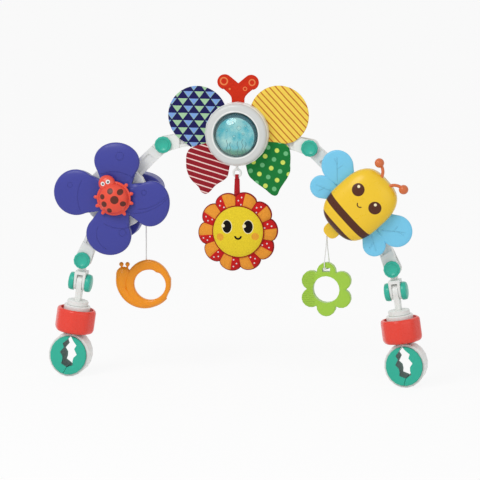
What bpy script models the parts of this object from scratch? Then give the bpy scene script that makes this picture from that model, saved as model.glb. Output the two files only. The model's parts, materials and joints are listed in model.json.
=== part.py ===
"""Toy arch for a stroller or cot, built piece by piece.

Two jaw clamps grip the sides, and carry a folding arch of two arms and a centre beam. The arch
holds a spinning flower with a ladybird and a pull-down snail ring, a hub with cloth wings and a
soft sun, and a bee with a teether.

The origin is the middle of the left clamp's gap. X runs to the right clamp, Z is up, and the side
that the child sees faces -Y.
"""
import math

import bmesh
import bpy
import numpy as np
from mathutils import Matrix, Vector

# The arch: five straight stretches between the clamps and the folding knobs
LINK_LENGTH = 0.03055
FOOT_LEAN = math.radians(8.03)
TILT_RISE = 0.02435
ARM_CHORD = 0.1904
ARM_RISE = math.radians(55.06)
ARM_BULGE = 0.012
BEAM_CHORD = 0.194
BEAM_BULGE = 0.013
BAR_WIDTH = 0.018
BAR_DEPTH = 0.012
CHANNEL_WIDTH = 0.0096
CHANNEL_DEPTH = 0.002

# Clearances
FACE_GAP = 0.0003
RUNNING_GAP = 0.0004
TURNING_GAP = 0.0008
OVERRUN = 0.002
MERGE_DISTANCE = 0.000001

# Folding knobs, whose axes run along Y
TONGUE_THICKNESS = 0.0062
CHEEK_THICKNESS = 0.004
TONGUE_RADIUS = 0.0098
CHEEK_RADIUS = 0.0105
FORK_REACH = 0.021
PIN_RADIUS = 0.0026
KNOB_RADIUS = 0.0111
KNOB_HEIGHT = 0.0045
KNOB_DISH_RADIUS = 0.0066
KNOB_DISH_DEPTH = 0.0005

# Tilt hinges, whose axes run across the foot
TILT_TONGUE_THICKNESS = 0.007
TILT_CHEEK_THICKNESS = 0.0036
TILT_RADIUS = 0.0105
TILT_CAP_RADIUS = 0.012
TILT_CAP_TOP_RADIUS = 0.0085
TILT_CAP_HEIGHT = 0.0072
TILT_PIN_HOLD = 0.0028
STEM_WAIST = 0.0062
LINK_BRIDGE = 0.0045
LINK_WAIST = 0.0043

# Clamps: heights are measured along the foot from the middle of the gap
PAD_SHARE = 0.898
PAD_LIP = 0.00425
PAD_HALF_DEPTH = 0.018
PAD_FLANGE = 0.0037
SHELL_RADIUS = 0.027
SHELL_HALF_DEPTH = 0.014
JAW_HEIGHT_SHARE = 1.07
JAW_SEAM = 0.0006
JAW_PIVOT_HEIGHT = 0.034
JAW_PIN_RADIUS = 0.002
KNUCKLE_RADIUS = 0.004
YOKE_HALF_DEPTH = 0.004
LUG_THICKNESS = 0.0037
LUG_ROOT_WIDTH = 0.008
LUG_ROOT_DEPTH = 0.004
POST_RADIUS = 0.0075
POST_BOTTOM = 0.039
POST_TIP_RADIUS = 0.006
POST_BORE_RADIUS = 0.0035
POST_BORE_FLOOR = 0.050
SHOULDER_HEIGHT = 0.0497
NUT_BOTTOM = 0.032
NUT_TOP = 0.059
NUT_RADIUS = 0.026
NUT_CHAMFER = 0.0042
NUT_RIM_RADIUS = 0.0215
NUT_WEB_THICKNESS = 0.004
NUT_SKIRT_BORE = 0.0155
NUT_FACETS = 8
NUT_FACET_SHARE = 0.028
COLLAR_BOTTOM = 0.0395
COLLAR_HEIGHT = 0.0065
COLLAR_RADIUS = 0.0148
CAP_BOSS_RADIUS = 0.010
CAP_BOSS_HEIGHT = 0.0032
CAP_RADIUS = 0.0176
CAP_HEIGHT = 0.0084
DISC_RADIUS = 0.0143
DISC_HEIGHT = 0.0062
EDGE_CHAMFER = 0.001
STEEP_ANGLE = 60.0

# Half width and height of the gap between the jaws, as shares of the pad's radius
GAP_SHARES = (
    (0.03, 1.30), (0.03, 1.06), (0.19, 0.83), (0.39, 0.62), (0.29, 0.41), (0.47, 0.12),
    (0.31, -0.08), (0.29, -0.29), (0.33, -0.49), (0.06, -0.66),
)
# Where the seam under the gap ends, as shares of the pad's radius
SEAM_END_SHARES = (-0.26, -1.30)

# Flower: its pieces stack in depth on the spindle, in front of and behind the left arm
FLOWER_ALONG = 0.0984
FLOWER_OUT = 0.0107
FLOWER_TURN = 85.0
FLOWER_BASE_RADIUS = 0.043
FLOWER_BASE_THICKNESS = 0.0077
ROTOR_THICKNESS = 0.0142
ROTOR_SOFTNESS = 0.0045
PETAL_CENTRE = 0.0492
PETAL_HALF_WIDTH = 0.0302
PETAL_HALF_LENGTH = 0.026
PETAL_NECK_HALF = 0.0205
PETAL_SWEEP = 122.0
PETALS = 4
SPINDLE_RADIUS = 0.003
SPINDLE_HEAD_RADIUS = 0.0048
SPINDLE_HEAD_THICKNESS = 0.002
LADYBIRD_RADIUS = 0.0226
LADYBIRD_BASE = 0.0035
LADYBIRD_DOME_RADIUS = 0.0204
LADYBIRD_DOME_HEIGHT = 0.0142
LADYBIRD_HEAD_RADIUS = 0.0112
LADYBIRD_HEAD_OUT = (-0.0087, 0.0196)
LADYBIRD_BOSS = 0.008

# Rear casing with the reel that the snail's cord winds on
CASING_RADIUS = 0.0475
CASING_SWELL = 0.0095
CASING_TURN = 11.0
CASING_DEPTH = 0.0197
CASING_WALL = 0.002
CASING_CAVITY_RADIUS = 0.0355
COVER_THICKNESS = 0.002
REEL_RADIUS = 0.035
REEL_RIM_WIDTH = 0.0052
REEL_GROOVE_HALF = 0.0013
REEL_RIM_INNER = 0.029
REEL_WEB_HALF = 0.001
REEL_HUB_RADIUS = 0.007
REEL_HUB_FRONT = 0.0006
SPRING_THICKNESS = 0.0008
SPRING_WIDTH = 0.0042
SPRING_PITCH = 0.0042
SPRING_TURNS = 4
SPRING_INNER_RADIUS = 0.0082

# Snail ring on its cord, with places from the middle of the flower
SNAIL_DEPTH = 0.016
SNAIL_CORD_OUT = 0.0335
SNAIL_CORD_TOP = 0.0105
SNAIL_CORD_END = -0.088
SNAIL_CORD_RADIUS = 0.00075
SNAIL_THICKNESS = 0.010
SNAIL_RING_RADIUS = 0.0306
SNAIL_RING_OUT = (0.0026, -0.0313)
SNAIL_HOLE_RADIUS = 0.0203
SNAIL_HOLE_OUT = (0.002, -0.0008)
SNAIL_BODY_RADIUS = 0.037
SNAIL_BODY_OUT = (-0.0067, 0.0045)
SNAIL_BODY_THICKNESS = 0.008
SNAIL_BODY_SWEEP = (174.0, 321.0)
SNAIL_HEAD_RADIUS = 0.0097
SNAIL_HEAD_OUT = (-0.0272, 0.0075)
SNAIL_HEAD_SWEEP = (5.0, 160.0)
SNAIL_EYE_RADIUS = 0.0029
SNAIL_EYES_OUT = ((-0.0295, 0.0205), (-0.0212, 0.0207))
SNAIL_STALK_HALF = 0.0013

# Hub in the middle of the beam, with places from the left upper knob
HUB_ALONG = 0.0996
HUB_RISE = 0.0174
HUB_RADIUS = 0.0418
HUB_WALL = 0.0025
HUB_BACK = 0.0103
HUB_FRONT = 0.022
HUB_BOSS_RADIUS = 0.021
HUB_PLATE = 0.0035
PICTURE_RADIUS = 0.034
PICTURE_THICKNESS = 0.0012
BEZEL_RADIUS = 0.0405
BEZEL_THICKNESS = 0.006
BEZEL_HOLE_RADIUS = 0.0292
LENS_RADIUS = 0.0286
LENS_FLANGE_RADIUS = 0.0315
LENS_FLANGE = 0.001
LENS_HEIGHT = 0.0135
LENS_WALL = 0.0014
LOOP_RADIUS = 0.0049
LOOP_THICKNESS = 0.0016
LOOP_DROP = 0.0511
LOOP_DEPTH = -0.016

# Cloth wings and felt antennae behind the hub, with places from the middle of the hub
CLOTH_THICKNESS = 0.002
CLOTH_FRONT = -0.0099
CLOTH_SOFTNESS = 0.0006
UPPER_WING_RADIUS = 0.0391
UPPER_WING_CENTRES = ((-0.0536, 0.0219), (0.0543, 0.0246))
UPPER_WING_SWEEP = (-62.0, 168.0)
UPPER_WING_TIPS = ((-0.0630, -0.0195), (0.0635, -0.0122))
LOWER_WING_LEFT = (
    (-0.0630, -0.0210), (-0.0690, -0.0426), (-0.0640, -0.0600), (-0.0528, -0.0717),
    (-0.0491, -0.0781), (-0.0426, -0.0808), (-0.0370, -0.0772), (-0.0296, -0.0690),
    (-0.0155, -0.0590), (-0.0118, -0.0471), (-0.0090, -0.0230), (-0.0228, -0.0108),
)
LOWER_WING_RIGHT = (
    (0.0640, -0.0137), (0.0691, -0.0417), (0.0664, -0.0545), (0.0561, -0.0708),
    (0.0515, -0.0799), (0.0450, -0.0799), (0.0357, -0.0726), (0.0207, -0.0618),
    (0.0125, -0.0508), (0.0090, -0.0230), (0.0228, -0.0108),
)
WING_ROOTS = ((-0.0225, -0.0088), (-0.0215, 0.0120))
ANTENNA_LOBE_RADIUS = 0.010
ANTENNA_LOBE_OUT = (0.0175, 0.067)
ANTENNA_NOTCH = (0.0, 0.0626)
ANTENNA_STEM_HALF = 0.008
ANTENNA_ROOT = 0.0245
ANTENNA_BEND = (0.009, 0.048)

# Soft sun on its ribbon
RIBBON_EYE_INNER = 0.0025
RIBBON_THICKNESS = 0.0007
RIBBON_TOP_HALF = 0.002
RIBBON_BOTTOM_HALF = 0.0038
RIBBON_LENGTH = 0.0186
SUN_SHIFT = 0.0015
SUN_VALLEY_RADIUS = 0.0455
SUN_PETAL_HEIGHT = 0.0075
SUN_PETALS = 10
SUN_POINTS = 4
SUN_TURN = 112.0
SUN_HALF_THICKNESS = 0.008
SUN_PLUMPNESS = 6
SUN_RING_SHARES = (0.62, 0.86, 0.96)
SUN_FACE_RADIUS = 0.0335
SUN_FACE_HEIGHT = 0.006
SUN_FACE_OUT = (0.0015, 0.001)

# Bee, whose own axis points up and to the right, with places from its middle
BEE_ALONG = 0.0971
BEE_OUT = 0.0157
BEE_TURN = 43.0
BEE_LENGTH_HALF = 0.0472
BEE_WIDTH_HALF = 0.038
BEE_MIDDLE = 0.002
BEE_POWER = 2.9
BEE_FRONT = -0.048
BEE_WING_FRONT = -0.0262
BEE_WING_THICKNESS = 0.0038
BEE_BACK = -0.0063
BEE_POINTS = 28
BEE_FRONT_SHARES = ((1.0, 0.0), (1.0, 0.5), (0.95, 0.76), (0.8, 0.92), (0.5, 0.985), (0.0, 1.0))
BEE_BACK_SHARES = ((1.0, 0.0), (1.0, 0.5), (0.9, 0.85), (0.6, 1.0), (0.0, 1.0))
BEE_PLATE_SHARE = 0.985
BEE_WING_ROOT_SHARE = 0.5
BEE_WING_SWEEP = 112.0
BEE_TAIL_RADIUS = 0.0106
BEE_TAIL_OUT = 0.0498
BEE_TAIL_THICKNESS = 0.0095
BEE_BIG_WING_PLACE = (0.013, 0.0568)
BEE_BIG_WING_RADIUS = 0.021
BEE_SMALL_WING_PLACE = (-0.021, 0.0508)
BEE_SMALL_WING_RADIUS = 0.0152
BEE_FEELER_RADIUS = 0.0014
BEE_FEELER_BALL = 0.0062
BEE_FEELER_HALF = 0.0073
BEE_FEELER_INSIDE = 0.043
BEE_FEELER_TIP = (0.0585, 0.0232)
BEE_FEELER_DEPTH = -0.0325

# Teether on its loop of cord, with places from the cord's top end
TEETHER_DEPTH = -0.017
TEETHER_SIDE = 0.0077
TEETHER_CORD_GAP = 0.0006
TEETHER_DROP = 0.070
TEETHER_THICKNESS = 0.011
TEETHER_LOBE_RADIUS = 0.0126
TEETHER_LOBE_OUT = 0.0228
TEETHER_LOBES = 6
TEETHER_HOLE_RADIUS = 0.0177
TEETHER_SLOT_OUT = 0.0259
TEETHER_SLOT_HALF = (0.0052, 0.0027)
TEETHER_CORD_RADIUS = 0.00065
TEETHER_STRAND_OUT = 0.002
TEETHER_CORD_POINTS = 36
CORD_GAP = 0.0005

# The front strand of the teether's loop, as shares of its reach sideways, forward and down to
# the top lobe
TEETHER_CORD_SHARES = (
    (0.0, 0.0, 0.0), (0.2, 0.06, 0.25), (0.5, 0.35, 0.55), (0.85, 0.85, 0.85), (1.0, 1.0, 1.02),
)

# Steps round the turned pieces, coarse to fine
COARSE_STEPS = 8
MIDDLE_STEPS = 12
FINE_STEPS = 20
BAR_STEPS = 8
PETAL_STEPS = 10
DOME_STEPS = 4


# Colours, roughness and metallic values
WHITE = (0.83, 0.84, 0.82)
TEAL = (0.05, 0.48, 0.34)
CORAL = (0.84, 0.09, 0.05)
GREY = (0.45, 0.47, 0.46)
STEEL = (0.62, 0.62, 0.64)
PURPLE = (0.07, 0.07, 0.36)
RED = (0.80, 0.10, 0.06)
ORANGE = (0.83, 0.30, 0.02)
LIME = (0.38, 0.63, 0.06)
YELLOW = (0.90, 0.60, 0.05)
SKY = (0.22, 0.62, 0.86)
RUST = (0.75, 0.19, 0.05)
NAVY = (0.02, 0.02, 0.12)
MAROON = (0.33, 0.02, 0.03)
LEAF = (0.02, 0.22, 0.06)
AQUA = (0.30, 0.72, 0.80)
CORD_GREY = (0.60, 0.60, 0.60)


def material(name, colour, roughness, metallic=0.0):
    """Find or make one Principled material."""
    found = bpy.data.materials.get(name)
    if found:
        return found
    made = bpy.data.materials.new(name)
    made.use_nodes = True
    shader = made.node_tree.nodes["Principled BSDF"]
    shader.inputs["Base Color"].default_value = (*colour, 1.0)
    shader.inputs["Roughness"].default_value = roughness
    shader.inputs["Metallic"].default_value = metallic
    made.diffuse_color = (*colour, 1.0)
    return made


def white_plastic():
    return material("white_plastic", WHITE, 0.35)


def teal_plastic():
    return material("teal_plastic", TEAL, 0.4)


def teal_rubber():
    return material("teal_rubber", TEAL, 0.6)


def coral_plastic():
    return material("coral_plastic", CORAL, 0.35)


def grey_plastic():
    return material("grey_plastic", GREY, 0.45)


def plastic(name, colour):
    return material(name, colour, 0.35)


def cloth(name, colour):
    return material(name, colour, 0.9)


def clear_plastic():
    return material("clear_plastic", AQUA, 0.05)


def spring_steel():
    return material("spring_steel", STEEL, 0.3, 1.0)


# Shapes

def arc(centre, radius, start, end, steps):
    """Points on an arc in the plane, with angles in degrees."""
    angles = np.radians(np.linspace(start, end, steps + 1))
    return [(centre[0] + radius * math.cos(a), centre[1] + radius * math.sin(a)) for a in angles]


def circle(centre, radius, steps):
    return arc(centre, radius, 0.0, 360.0, steps)[:-1]


def finished(shape, name):
    """Turn a bmesh into a mesh whose faces point out."""
    bmesh.ops.remove_doubles(shape, verts=shape.verts, dist=MERGE_DISTANCE)
    bmesh.ops.recalc_face_normals(shape, faces=shape.faces)
    mesh = bpy.data.meshes.new(name)
    shape.to_mesh(mesh)
    shape.free()
    return mesh


def turned(name, profile, steps, axis="Z"):
    """Spin a profile of (radius, height) points about an axis."""
    shape = bmesh.new()
    points = [shape.verts.new((radius, 0.0, height)) for radius, height in profile]
    closed = profile[0][0] > 0.0
    pairs = list(zip(points, points[1:]))
    if closed:
        pairs.append((points[-1], points[0]))
    edges = [shape.edges.new(pair) for pair in pairs]
    bmesh.ops.spin(shape, geom=points + edges, axis=(0, 0, 1), cent=(0, 0, 0),
                   angle=math.tau, steps=steps, use_merge=True)
    mesh = finished(shape, name)
    turn_to_axis(mesh, axis)
    return mesh


def turn_to_axis(mesh, axis):
    """Lay a shape made along Z down along X or Y."""
    if axis == "Y":
        mesh.transform(Matrix.Rotation(-math.pi / 2, 4, "X"))
    if axis == "X":
        mesh.transform(Matrix.Rotation(math.pi / 2, 4, "Y"))


def prism(name, outline, start, end, axis="Y"):
    """Extrude an outline along Y from (x, z) points, or along X from (y, z) points."""
    shape = bmesh.new()
    if axis == "Y":
        points = [shape.verts.new((x, start, z)) for x, z in outline]
        travel = Vector((0.0, end - start, 0.0))
    else:
        points = [shape.verts.new((start, y, z)) for y, z in outline]
        travel = Vector((end - start, 0.0, 0.0))
    face = shape.faces.new(points)
    pushed = bmesh.ops.extrude_face_region(shape, geom=[face])
    moved = [item for item in pushed["geom"] if isinstance(item, bmesh.types.BMVert)]
    bmesh.ops.translate(shape, verts=moved, vec=travel)
    return finished(shape, name)


def block(name, low, high):
    """A box between two corners."""
    outline = [(low[0], low[2]), (high[0], low[2]), (high[0], high[2]), (low[0], high[2])]
    return prism(name, outline, low[1], high[1])


def empty(name, parent, location=(0, 0, 0), turn=0.0):
    """A frame on a joint's axis, turned about Y."""
    frame = bpy.data.objects.new(name, None)
    bpy.context.scene.collection.objects.link(frame)
    frame.empty_display_size = BAR_WIDTH
    frame.parent = parent
    frame.location = location
    frame.rotation_euler = (0.0, turn, 0.0)
    return frame


def piece(name, mesh, frame, look=None):
    """One solid of the toy, in its joint's frame."""
    made = bpy.data.objects.new(name, mesh)
    bpy.context.scene.collection.objects.link(made)
    made.parent = frame
    if look:
        mesh.materials.append(look)
    return made


def helper(name, mesh, frame):
    """A shape that only cuts or joins, and isn't a piece."""
    made = piece(name, mesh, frame)
    made.hide_render = True
    made.display_type = "WIRE"
    return made


def combine(target, mesh, operation):
    """Cut a shape out of a piece, join one to it, or keep what both share."""
    count = len(target.modifiers)
    tool = helper(f"{target.name}_helper_{count}", mesh, target.parent)
    step = target.modifiers.new(f"{operation.lower()}_{count}", "BOOLEAN")
    step.operation = operation
    step.object = tool
    step.solver = "EXACT"


def cut(target, mesh):
    combine(target, mesh, "DIFFERENCE")


def join(target, mesh):
    combine(target, mesh, "UNION")


def keep(target, mesh):
    combine(target, mesh, "INTERSECT")


def soften(target, width, segments=2, angle=40.0):
    """Round the edges that turn by more than an angle."""
    step = target.modifiers.new("soft_edges", "BEVEL")
    step.width = width
    step.segments = segments
    step.limit_method = "ANGLE"
    step.angle_limit = math.radians(angle)
    step.use_clamp_overlap = True


def smooth(target, angle=35.0):
    """Shade the round faces of a piece smooth."""
    target.data.shade_smooth()
    target.data.set_sharp_from_angle(angle=math.radians(angle))


def shift(mesh, offset):
    """Move a shape within its frame."""
    mesh.transform(Matrix.Translation(Vector(offset)))
    return mesh


def put_origin(target, point):
    """Set the origin of a piece on a point of its frame, before it gets modifiers."""
    shift(target.data, (-point[0], -point[1], -point[2]))
    target.location = point


# Clamps

def nut_web_bottom():
    return SHOULDER_HEIGHT + FACE_GAP


def cap_bottom():
    return nut_web_bottom() + NUT_WEB_THICKNESS + FACE_GAP


def cap_top():
    return cap_bottom() + CAP_BOSS_HEIGHT + CAP_HEIGHT


def disc_bottom():
    return cap_top() + FACE_GAP


def disc_top():
    return disc_bottom() + DISC_HEIGHT


def pad_radius():
    return SHELL_RADIUS * PAD_SHARE


def pad_body_radius():
    """Radius of the pad between its flanges, where the shell lies round it."""
    return pad_radius() - PAD_LIP


def gap_side(sign):
    """One side of the jaw gap, from top to bottom, in shares of the pad's radius."""
    side = [(sign * half, height) for half, height in GAP_SHARES]
    seam = JAW_SEAM / pad_radius() / 2
    side[-1] = (sign * seam, side[-1][1])
    side.append((SEAM_END_SHARES[0] + sign * seam, SEAM_END_SHARES[1]))
    return side


def jaw_half(sign):
    """The half of the clamp on one side of the gap, as an outline."""
    side = [(x * pad_radius(), z * pad_radius()) for x, z in gap_side(sign)]
    far = sign * (SHELL_RADIUS + OVERRUN)
    return side + [(far, side[-1][1]), (far, side[0][1])]


def lug_starts():
    """Where the two pairs of lugs begin in depth: the outer jaw's pair lies next to the yoke."""
    first = YOKE_HALF_DEPTH + RUNNING_GAP
    return {"outer": first, "inner": first + LUG_THICKNESS + FACE_GAP}


def shell_top():
    return SHELL_RADIUS * JAW_HEIGHT_SHARE


def lug_outline(sign):
    """Outline of a lug from the top of a jaw to the pin in the neck."""
    inside = sign * EDGE_CHAMFER
    root = shell_top() - LUG_ROOT_DEPTH
    knuckle = arc((0.0, JAW_PIVOT_HEIGHT), KNUCKLE_RADIUS, -90.0, 190.0, COARSE_STEPS)
    if sign > 0:
        knuckle = [(-x, z) for x, z in knuckle]
    return knuckle + [(sign * LUG_ROOT_WIDTH, root), (inside, root)]


def stretched(mesh):
    """Make a turned jaw shape a little taller than wide."""
    mesh.transform(Matrix.Diagonal((1.0, 1.0, JAW_HEIGHT_SHARE, 1.0)))
    return mesh


def jaw_pad(name, frame, sign):
    """Teal gripping face, with a flange in front and behind."""
    inner = PAD_HALF_DEPTH - PAD_FLANGE
    outer = pad_radius()
    edge = outer - EDGE_CHAMFER
    front = PAD_HALF_DEPTH - EDGE_CHAMFER
    body = pad_body_radius()
    profile = [
        (0.0, PAD_HALF_DEPTH), (edge, PAD_HALF_DEPTH), (outer, front), (outer, inner),
        (body, inner), (body, -inner), (outer, -inner), (outer, -front),
        (edge, -PAD_HALF_DEPTH), (0.0, -PAD_HALF_DEPTH),
    ]
    pad = piece(name, stretched(turned(name, profile, FINE_STEPS, "Y")), frame, teal_rubber())
    halve_jaw(pad, sign)
    smooth(pad)


def jaw_shell(name, frame, sign, place):
    """White shell round the pad, whose two lugs turn on the neck's pin."""
    inner = pad_body_radius() + FACE_GAP
    edge = SHELL_HALF_DEPTH - EDGE_CHAMFER
    rim = SHELL_RADIUS - EDGE_CHAMFER
    profile = [
        (inner, SHELL_HALF_DEPTH), (rim, SHELL_HALF_DEPTH), (SHELL_RADIUS, edge),
        (SHELL_RADIUS, -edge), (rim, -SHELL_HALF_DEPTH), (inner, -SHELL_HALF_DEPTH),
    ]
    shell = piece(name, stretched(turned(name, profile, FINE_STEPS, "Y")), frame, white_plastic())
    halve_jaw(shell, sign)
    start = lug_starts()[place]
    for side in (-1, 1):
        lug = prism("lug", lug_outline(sign), side * start, side * (start + LUG_THICKNESS))
        join(shell, lug)
    cut(shell, pin_bore())
    smooth(shell)


def halve_jaw(part, sign):
    """Keep the half of a turned jaw shape on one side of the gap, hung on the neck's pin."""
    put_origin(part, (0.0, 0.0, JAW_PIVOT_HEIGHT))
    deep = PAD_HALF_DEPTH + OVERRUN
    keep(part, prism("half", jaw_half(sign), -deep, deep))


def pin_bore():
    """The hole that the neck's pin goes through, in the yoke's lugs."""
    deep = jaw_pin_half_length() + OVERRUN
    centre = (0.0, JAW_PIVOT_HEIGHT)
    return prism("pin_bore", circle(centre, JAW_PIN_RADIUS + FACE_GAP, COARSE_STEPS), -deep, deep)


def jaw_pin_half_length():
    return lug_starts()["inner"] + LUG_THICKNESS


def clamp_neck(name, frame):
    """Post that the nut turns on, ending in the knuckle and pin that both jaws hang on."""
    top = cap_top() - FACE_GAP
    profile = [
        (0.0, POST_BORE_FLOOR), (POST_BORE_RADIUS, POST_BORE_FLOOR), (POST_BORE_RADIUS, top),
        (POST_TIP_RADIUS, top), (POST_TIP_RADIUS, SHOULDER_HEIGHT),
        (POST_RADIUS, SHOULDER_HEIGHT), (POST_RADIUS, POST_BOTTOM), (0.0, POST_BOTTOM),
    ]
    neck = piece(name, turned(name, profile, MIDDLE_STEPS), frame, white_plastic())
    inside = POST_BOTTOM + EDGE_CHAMFER
    outline = arc((0.0, JAW_PIVOT_HEIGHT), KNUCKLE_RADIUS, 180.0, 360.0, COARSE_STEPS)
    outline += [(KNUCKLE_RADIUS, inside), (-KNUCKLE_RADIUS, inside)]
    join(neck, prism("knuckle", outline, -YOKE_HALF_DEPTH, YOKE_HALF_DEPTH))
    half = jaw_pin_half_length()
    centre = (0.0, JAW_PIVOT_HEIGHT)
    join(neck, prism("pin", circle(centre, JAW_PIN_RADIUS, COARSE_STEPS), -half, half))
    smooth(neck)


def neck_cap(name, frame):
    """Flange that is fixed on the post and keeps the nut on it."""
    bottom = cap_bottom()
    step = bottom + CAP_BOSS_HEIGHT
    top = cap_top()
    bore = POST_TIP_RADIUS + FACE_GAP
    profile = [
        (bore, top), (CAP_RADIUS - EDGE_CHAMFER, top), (CAP_RADIUS, top - EDGE_CHAMFER),
        (CAP_RADIUS, step), (CAP_BOSS_RADIUS, step), (CAP_BOSS_RADIUS, bottom), (bore, bottom),
    ]
    smooth(piece(name, turned(name, profile, FINE_STEPS), frame, white_plastic()))


def clamp_nut(name, frame):
    """Hand nut: a skirt over the collar, a web on the post's shoulder and an open cup on top."""
    bore = POST_TIP_RADIUS + RUNNING_GAP
    web = nut_web_bottom()
    floor = web + NUT_WEB_THICKNESS
    rim = NUT_TOP - EDGE_CHAMFER
    profile = [
        (bore, floor), (NUT_RIM_RADIUS, floor), (NUT_RIM_RADIUS, NUT_TOP),
        (NUT_RADIUS - NUT_CHAMFER / 2, NUT_TOP), (NUT_RADIUS, rim - EDGE_CHAMFER),
        (NUT_RADIUS, NUT_BOTTOM + NUT_CHAMFER), (NUT_RADIUS - EDGE_CHAMFER, NUT_BOTTOM + NUT_CHAMFER / 2),
        (NUT_RADIUS - NUT_CHAMFER, NUT_BOTTOM), (NUT_SKIRT_BORE, NUT_BOTTOM),
        (NUT_SKIRT_BORE, web), (bore, web),
    ]
    mesh = turned(name, profile, FINE_STEPS)
    flatten_sides(mesh)
    smooth(piece(name, mesh, frame, coral_plastic()))


def flatten_sides(mesh):
    """Draw the nut's outer wall in eight times, for soft flats that a hand can turn."""
    points = np.empty(len(mesh.vertices) * 3)
    mesh.vertices.foreach_get("co", points)
    points = points.reshape(-1, 3)
    radius = np.hypot(points[:, 0], points[:, 1])
    angle = np.arctan2(points[:, 1], points[:, 0])
    drawn = 1.0 - NUT_FACET_SHARE * (1.0 - np.cos(NUT_FACETS * angle)) / 2
    outer = radius > NUT_RIM_RADIUS + FACE_GAP / 2
    points[outer, :2] *= drawn[outer, None]
    mesh.vertices.foreach_set("co", points.ravel())


def clamp_collar(name, frame):
    """Hidden threaded ring that the nut drives along the post, onto the jaws."""
    bore = POST_RADIUS + RUNNING_GAP
    top = COLLAR_BOTTOM + COLLAR_HEIGHT
    profile = [
        (bore, top), (COLLAR_RADIUS, top), (COLLAR_RADIUS, COLLAR_BOTTOM + EDGE_CHAMFER),
        (COLLAR_RADIUS - EDGE_CHAMFER, COLLAR_BOTTOM), (bore, COLLAR_BOTTOM),
    ]
    smooth(piece(name, turned(name, profile, MIDDLE_STEPS), frame, grey_plastic()))


def stem(name, frame):
    """Round disc on the neck cap, with a spigot below and the tilt hinge's tongue above."""
    bottom = disc_bottom()
    top = disc_top()
    spigot = POST_BORE_RADIUS - FACE_GAP
    foot = POST_BORE_FLOOR + RUNNING_GAP
    profile = [
        (0.0, top), (DISC_RADIUS - EDGE_CHAMFER, top), (DISC_RADIUS, top - EDGE_CHAMFER),
        (DISC_RADIUS, bottom), (spigot, bottom), (spigot, foot), (0.0, foot),
    ]
    made = piece(name, turned(name, profile, MIDDLE_STEPS), frame, white_plastic())
    half = TILT_TONGUE_THICKNESS / 2
    inside = top - EDGE_CHAMFER
    outline = [(-STEM_WAIST, inside), (STEM_WAIST, inside)]
    outline += arc((0.0, tilt_height()), TILT_RADIUS, -35.0, 215.0, BAR_STEPS)
    join(made, prism("tongue", outline, -half, half, "X"))
    cut(made, tilt_bore("bore", tilt_height()))
    smooth(made)


def tilt_bore(name, height):
    """Bore for the tilt pin, right across the hinge."""
    wide = TILT_CAP_HEIGHT + TILT_TONGUE_THICKNESS
    outline = circle((0.0, height), PIN_RADIUS + FACE_GAP, COARSE_STEPS)
    return prism(name, outline, -wide, wide, "X")


def tilt_height():
    """Height of the tilt axis, above the stem's disc."""
    return disc_top() + TILT_RISE


def link(name, frame):
    """Fork over the stem's tongue, which carries the lower knob's tongue."""
    inner = TILT_TONGUE_THICKNESS / 2 + RUNNING_GAP
    outer = inner + TILT_CHEEK_THICKNESS
    bridge = TILT_RADIUS + RUNNING_GAP
    top = bridge + LINK_BRIDGE
    outline = [(TILT_RADIUS, top), (-TILT_RADIUS, top)]
    outline += arc((0.0, 0.0), TILT_RADIUS, 180.0, 360.0, BAR_STEPS)
    made = piece(name, prism(name, outline, -outer, outer, "X"), frame, white_plastic())
    below = TILT_RADIUS + OVERRUN
    cut(made, block("slot", (-inner, -below, -below), (inner, below, bridge)))
    half = TONGUE_THICKNESS / 2
    inside = top - EDGE_CHAMFER
    tongue = [(-LINK_WAIST, inside), (LINK_WAIST, inside)]
    tongue += arc((0.0, LINK_LENGTH), TONGUE_RADIUS, -60.0, 240.0, BAR_STEPS)
    join(made, prism("tongue", tongue, -half, half))
    cut(made, tilt_bore("bore", 0.0))
    cut(made, knob_bore((0.0, LINK_LENGTH)))
    soften(made, EDGE_CHAMFER / 2, 1)
    smooth(made)


def tilt_cap_start():
    """Where the tilt hinge's caps begin, outside its cheeks."""
    return TILT_TONGUE_THICKNESS / 2 + RUNNING_GAP + TILT_CHEEK_THICKNESS + FACE_GAP


def tilt_cap_profile(inner_radius):
    """Profile of a domed cap along the hinge's axis, down its outer side."""
    start = tilt_cap_start()
    end = start + TILT_CAP_HEIGHT
    middle = start + TILT_CAP_HEIGHT / 2
    waist = (TILT_CAP_RADIUS + TILT_CAP_TOP_RADIUS) / 2
    return [
        (inner_radius, end), (TILT_CAP_TOP_RADIUS, end),
        (waist + EDGE_CHAMFER, end - EDGE_CHAMFER), (TILT_CAP_RADIUS, middle),
        (TILT_CAP_RADIUS, start), (inner_radius, start),
    ]


def tilt_bolt(name, frame, sign):
    """Domed cap with the tilt pin, pressed into the cap on the far side."""
    tip = tilt_cap_start() + TILT_PIN_HOLD
    profile = tilt_cap_profile(0.0)[:-1]
    profile += [(PIN_RADIUS, tilt_cap_start()), (PIN_RADIUS, -tip), (0.0, -tip)]
    mesh = turned(name, profile, MIDDLE_STEPS, "X")
    if sign < 0:
        mesh.transform(Matrix.Rotation(math.pi, 4, "Z"))
    smooth(piece(name, mesh, frame, teal_plastic()))


def tilt_cap(name, frame, sign):
    """Domed cap with a blind bore for the end of the tilt pin."""
    start = tilt_cap_start()
    floor = start + TILT_PIN_HOLD + FACE_GAP
    bore = PIN_RADIUS + FACE_GAP
    profile = tilt_cap_profile(0.0)[:-1]
    profile += [(bore, start), (bore, floor), (0.0, floor)]
    mesh = turned(name, profile, MIDDLE_STEPS, "X")
    if sign < 0:
        mesh.transform(Matrix.Rotation(math.pi, 4, "Z"))
    smooth(piece(name, mesh, frame, teal_plastic()))


def knob_bore(centre):
    """Bore for a knob's pin, through a tongue or fork."""
    deep = hinge_half_depth() + OVERRUN
    return prism("bore", circle(centre, PIN_RADIUS + FACE_GAP, COARSE_STEPS), -deep, deep)


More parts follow.
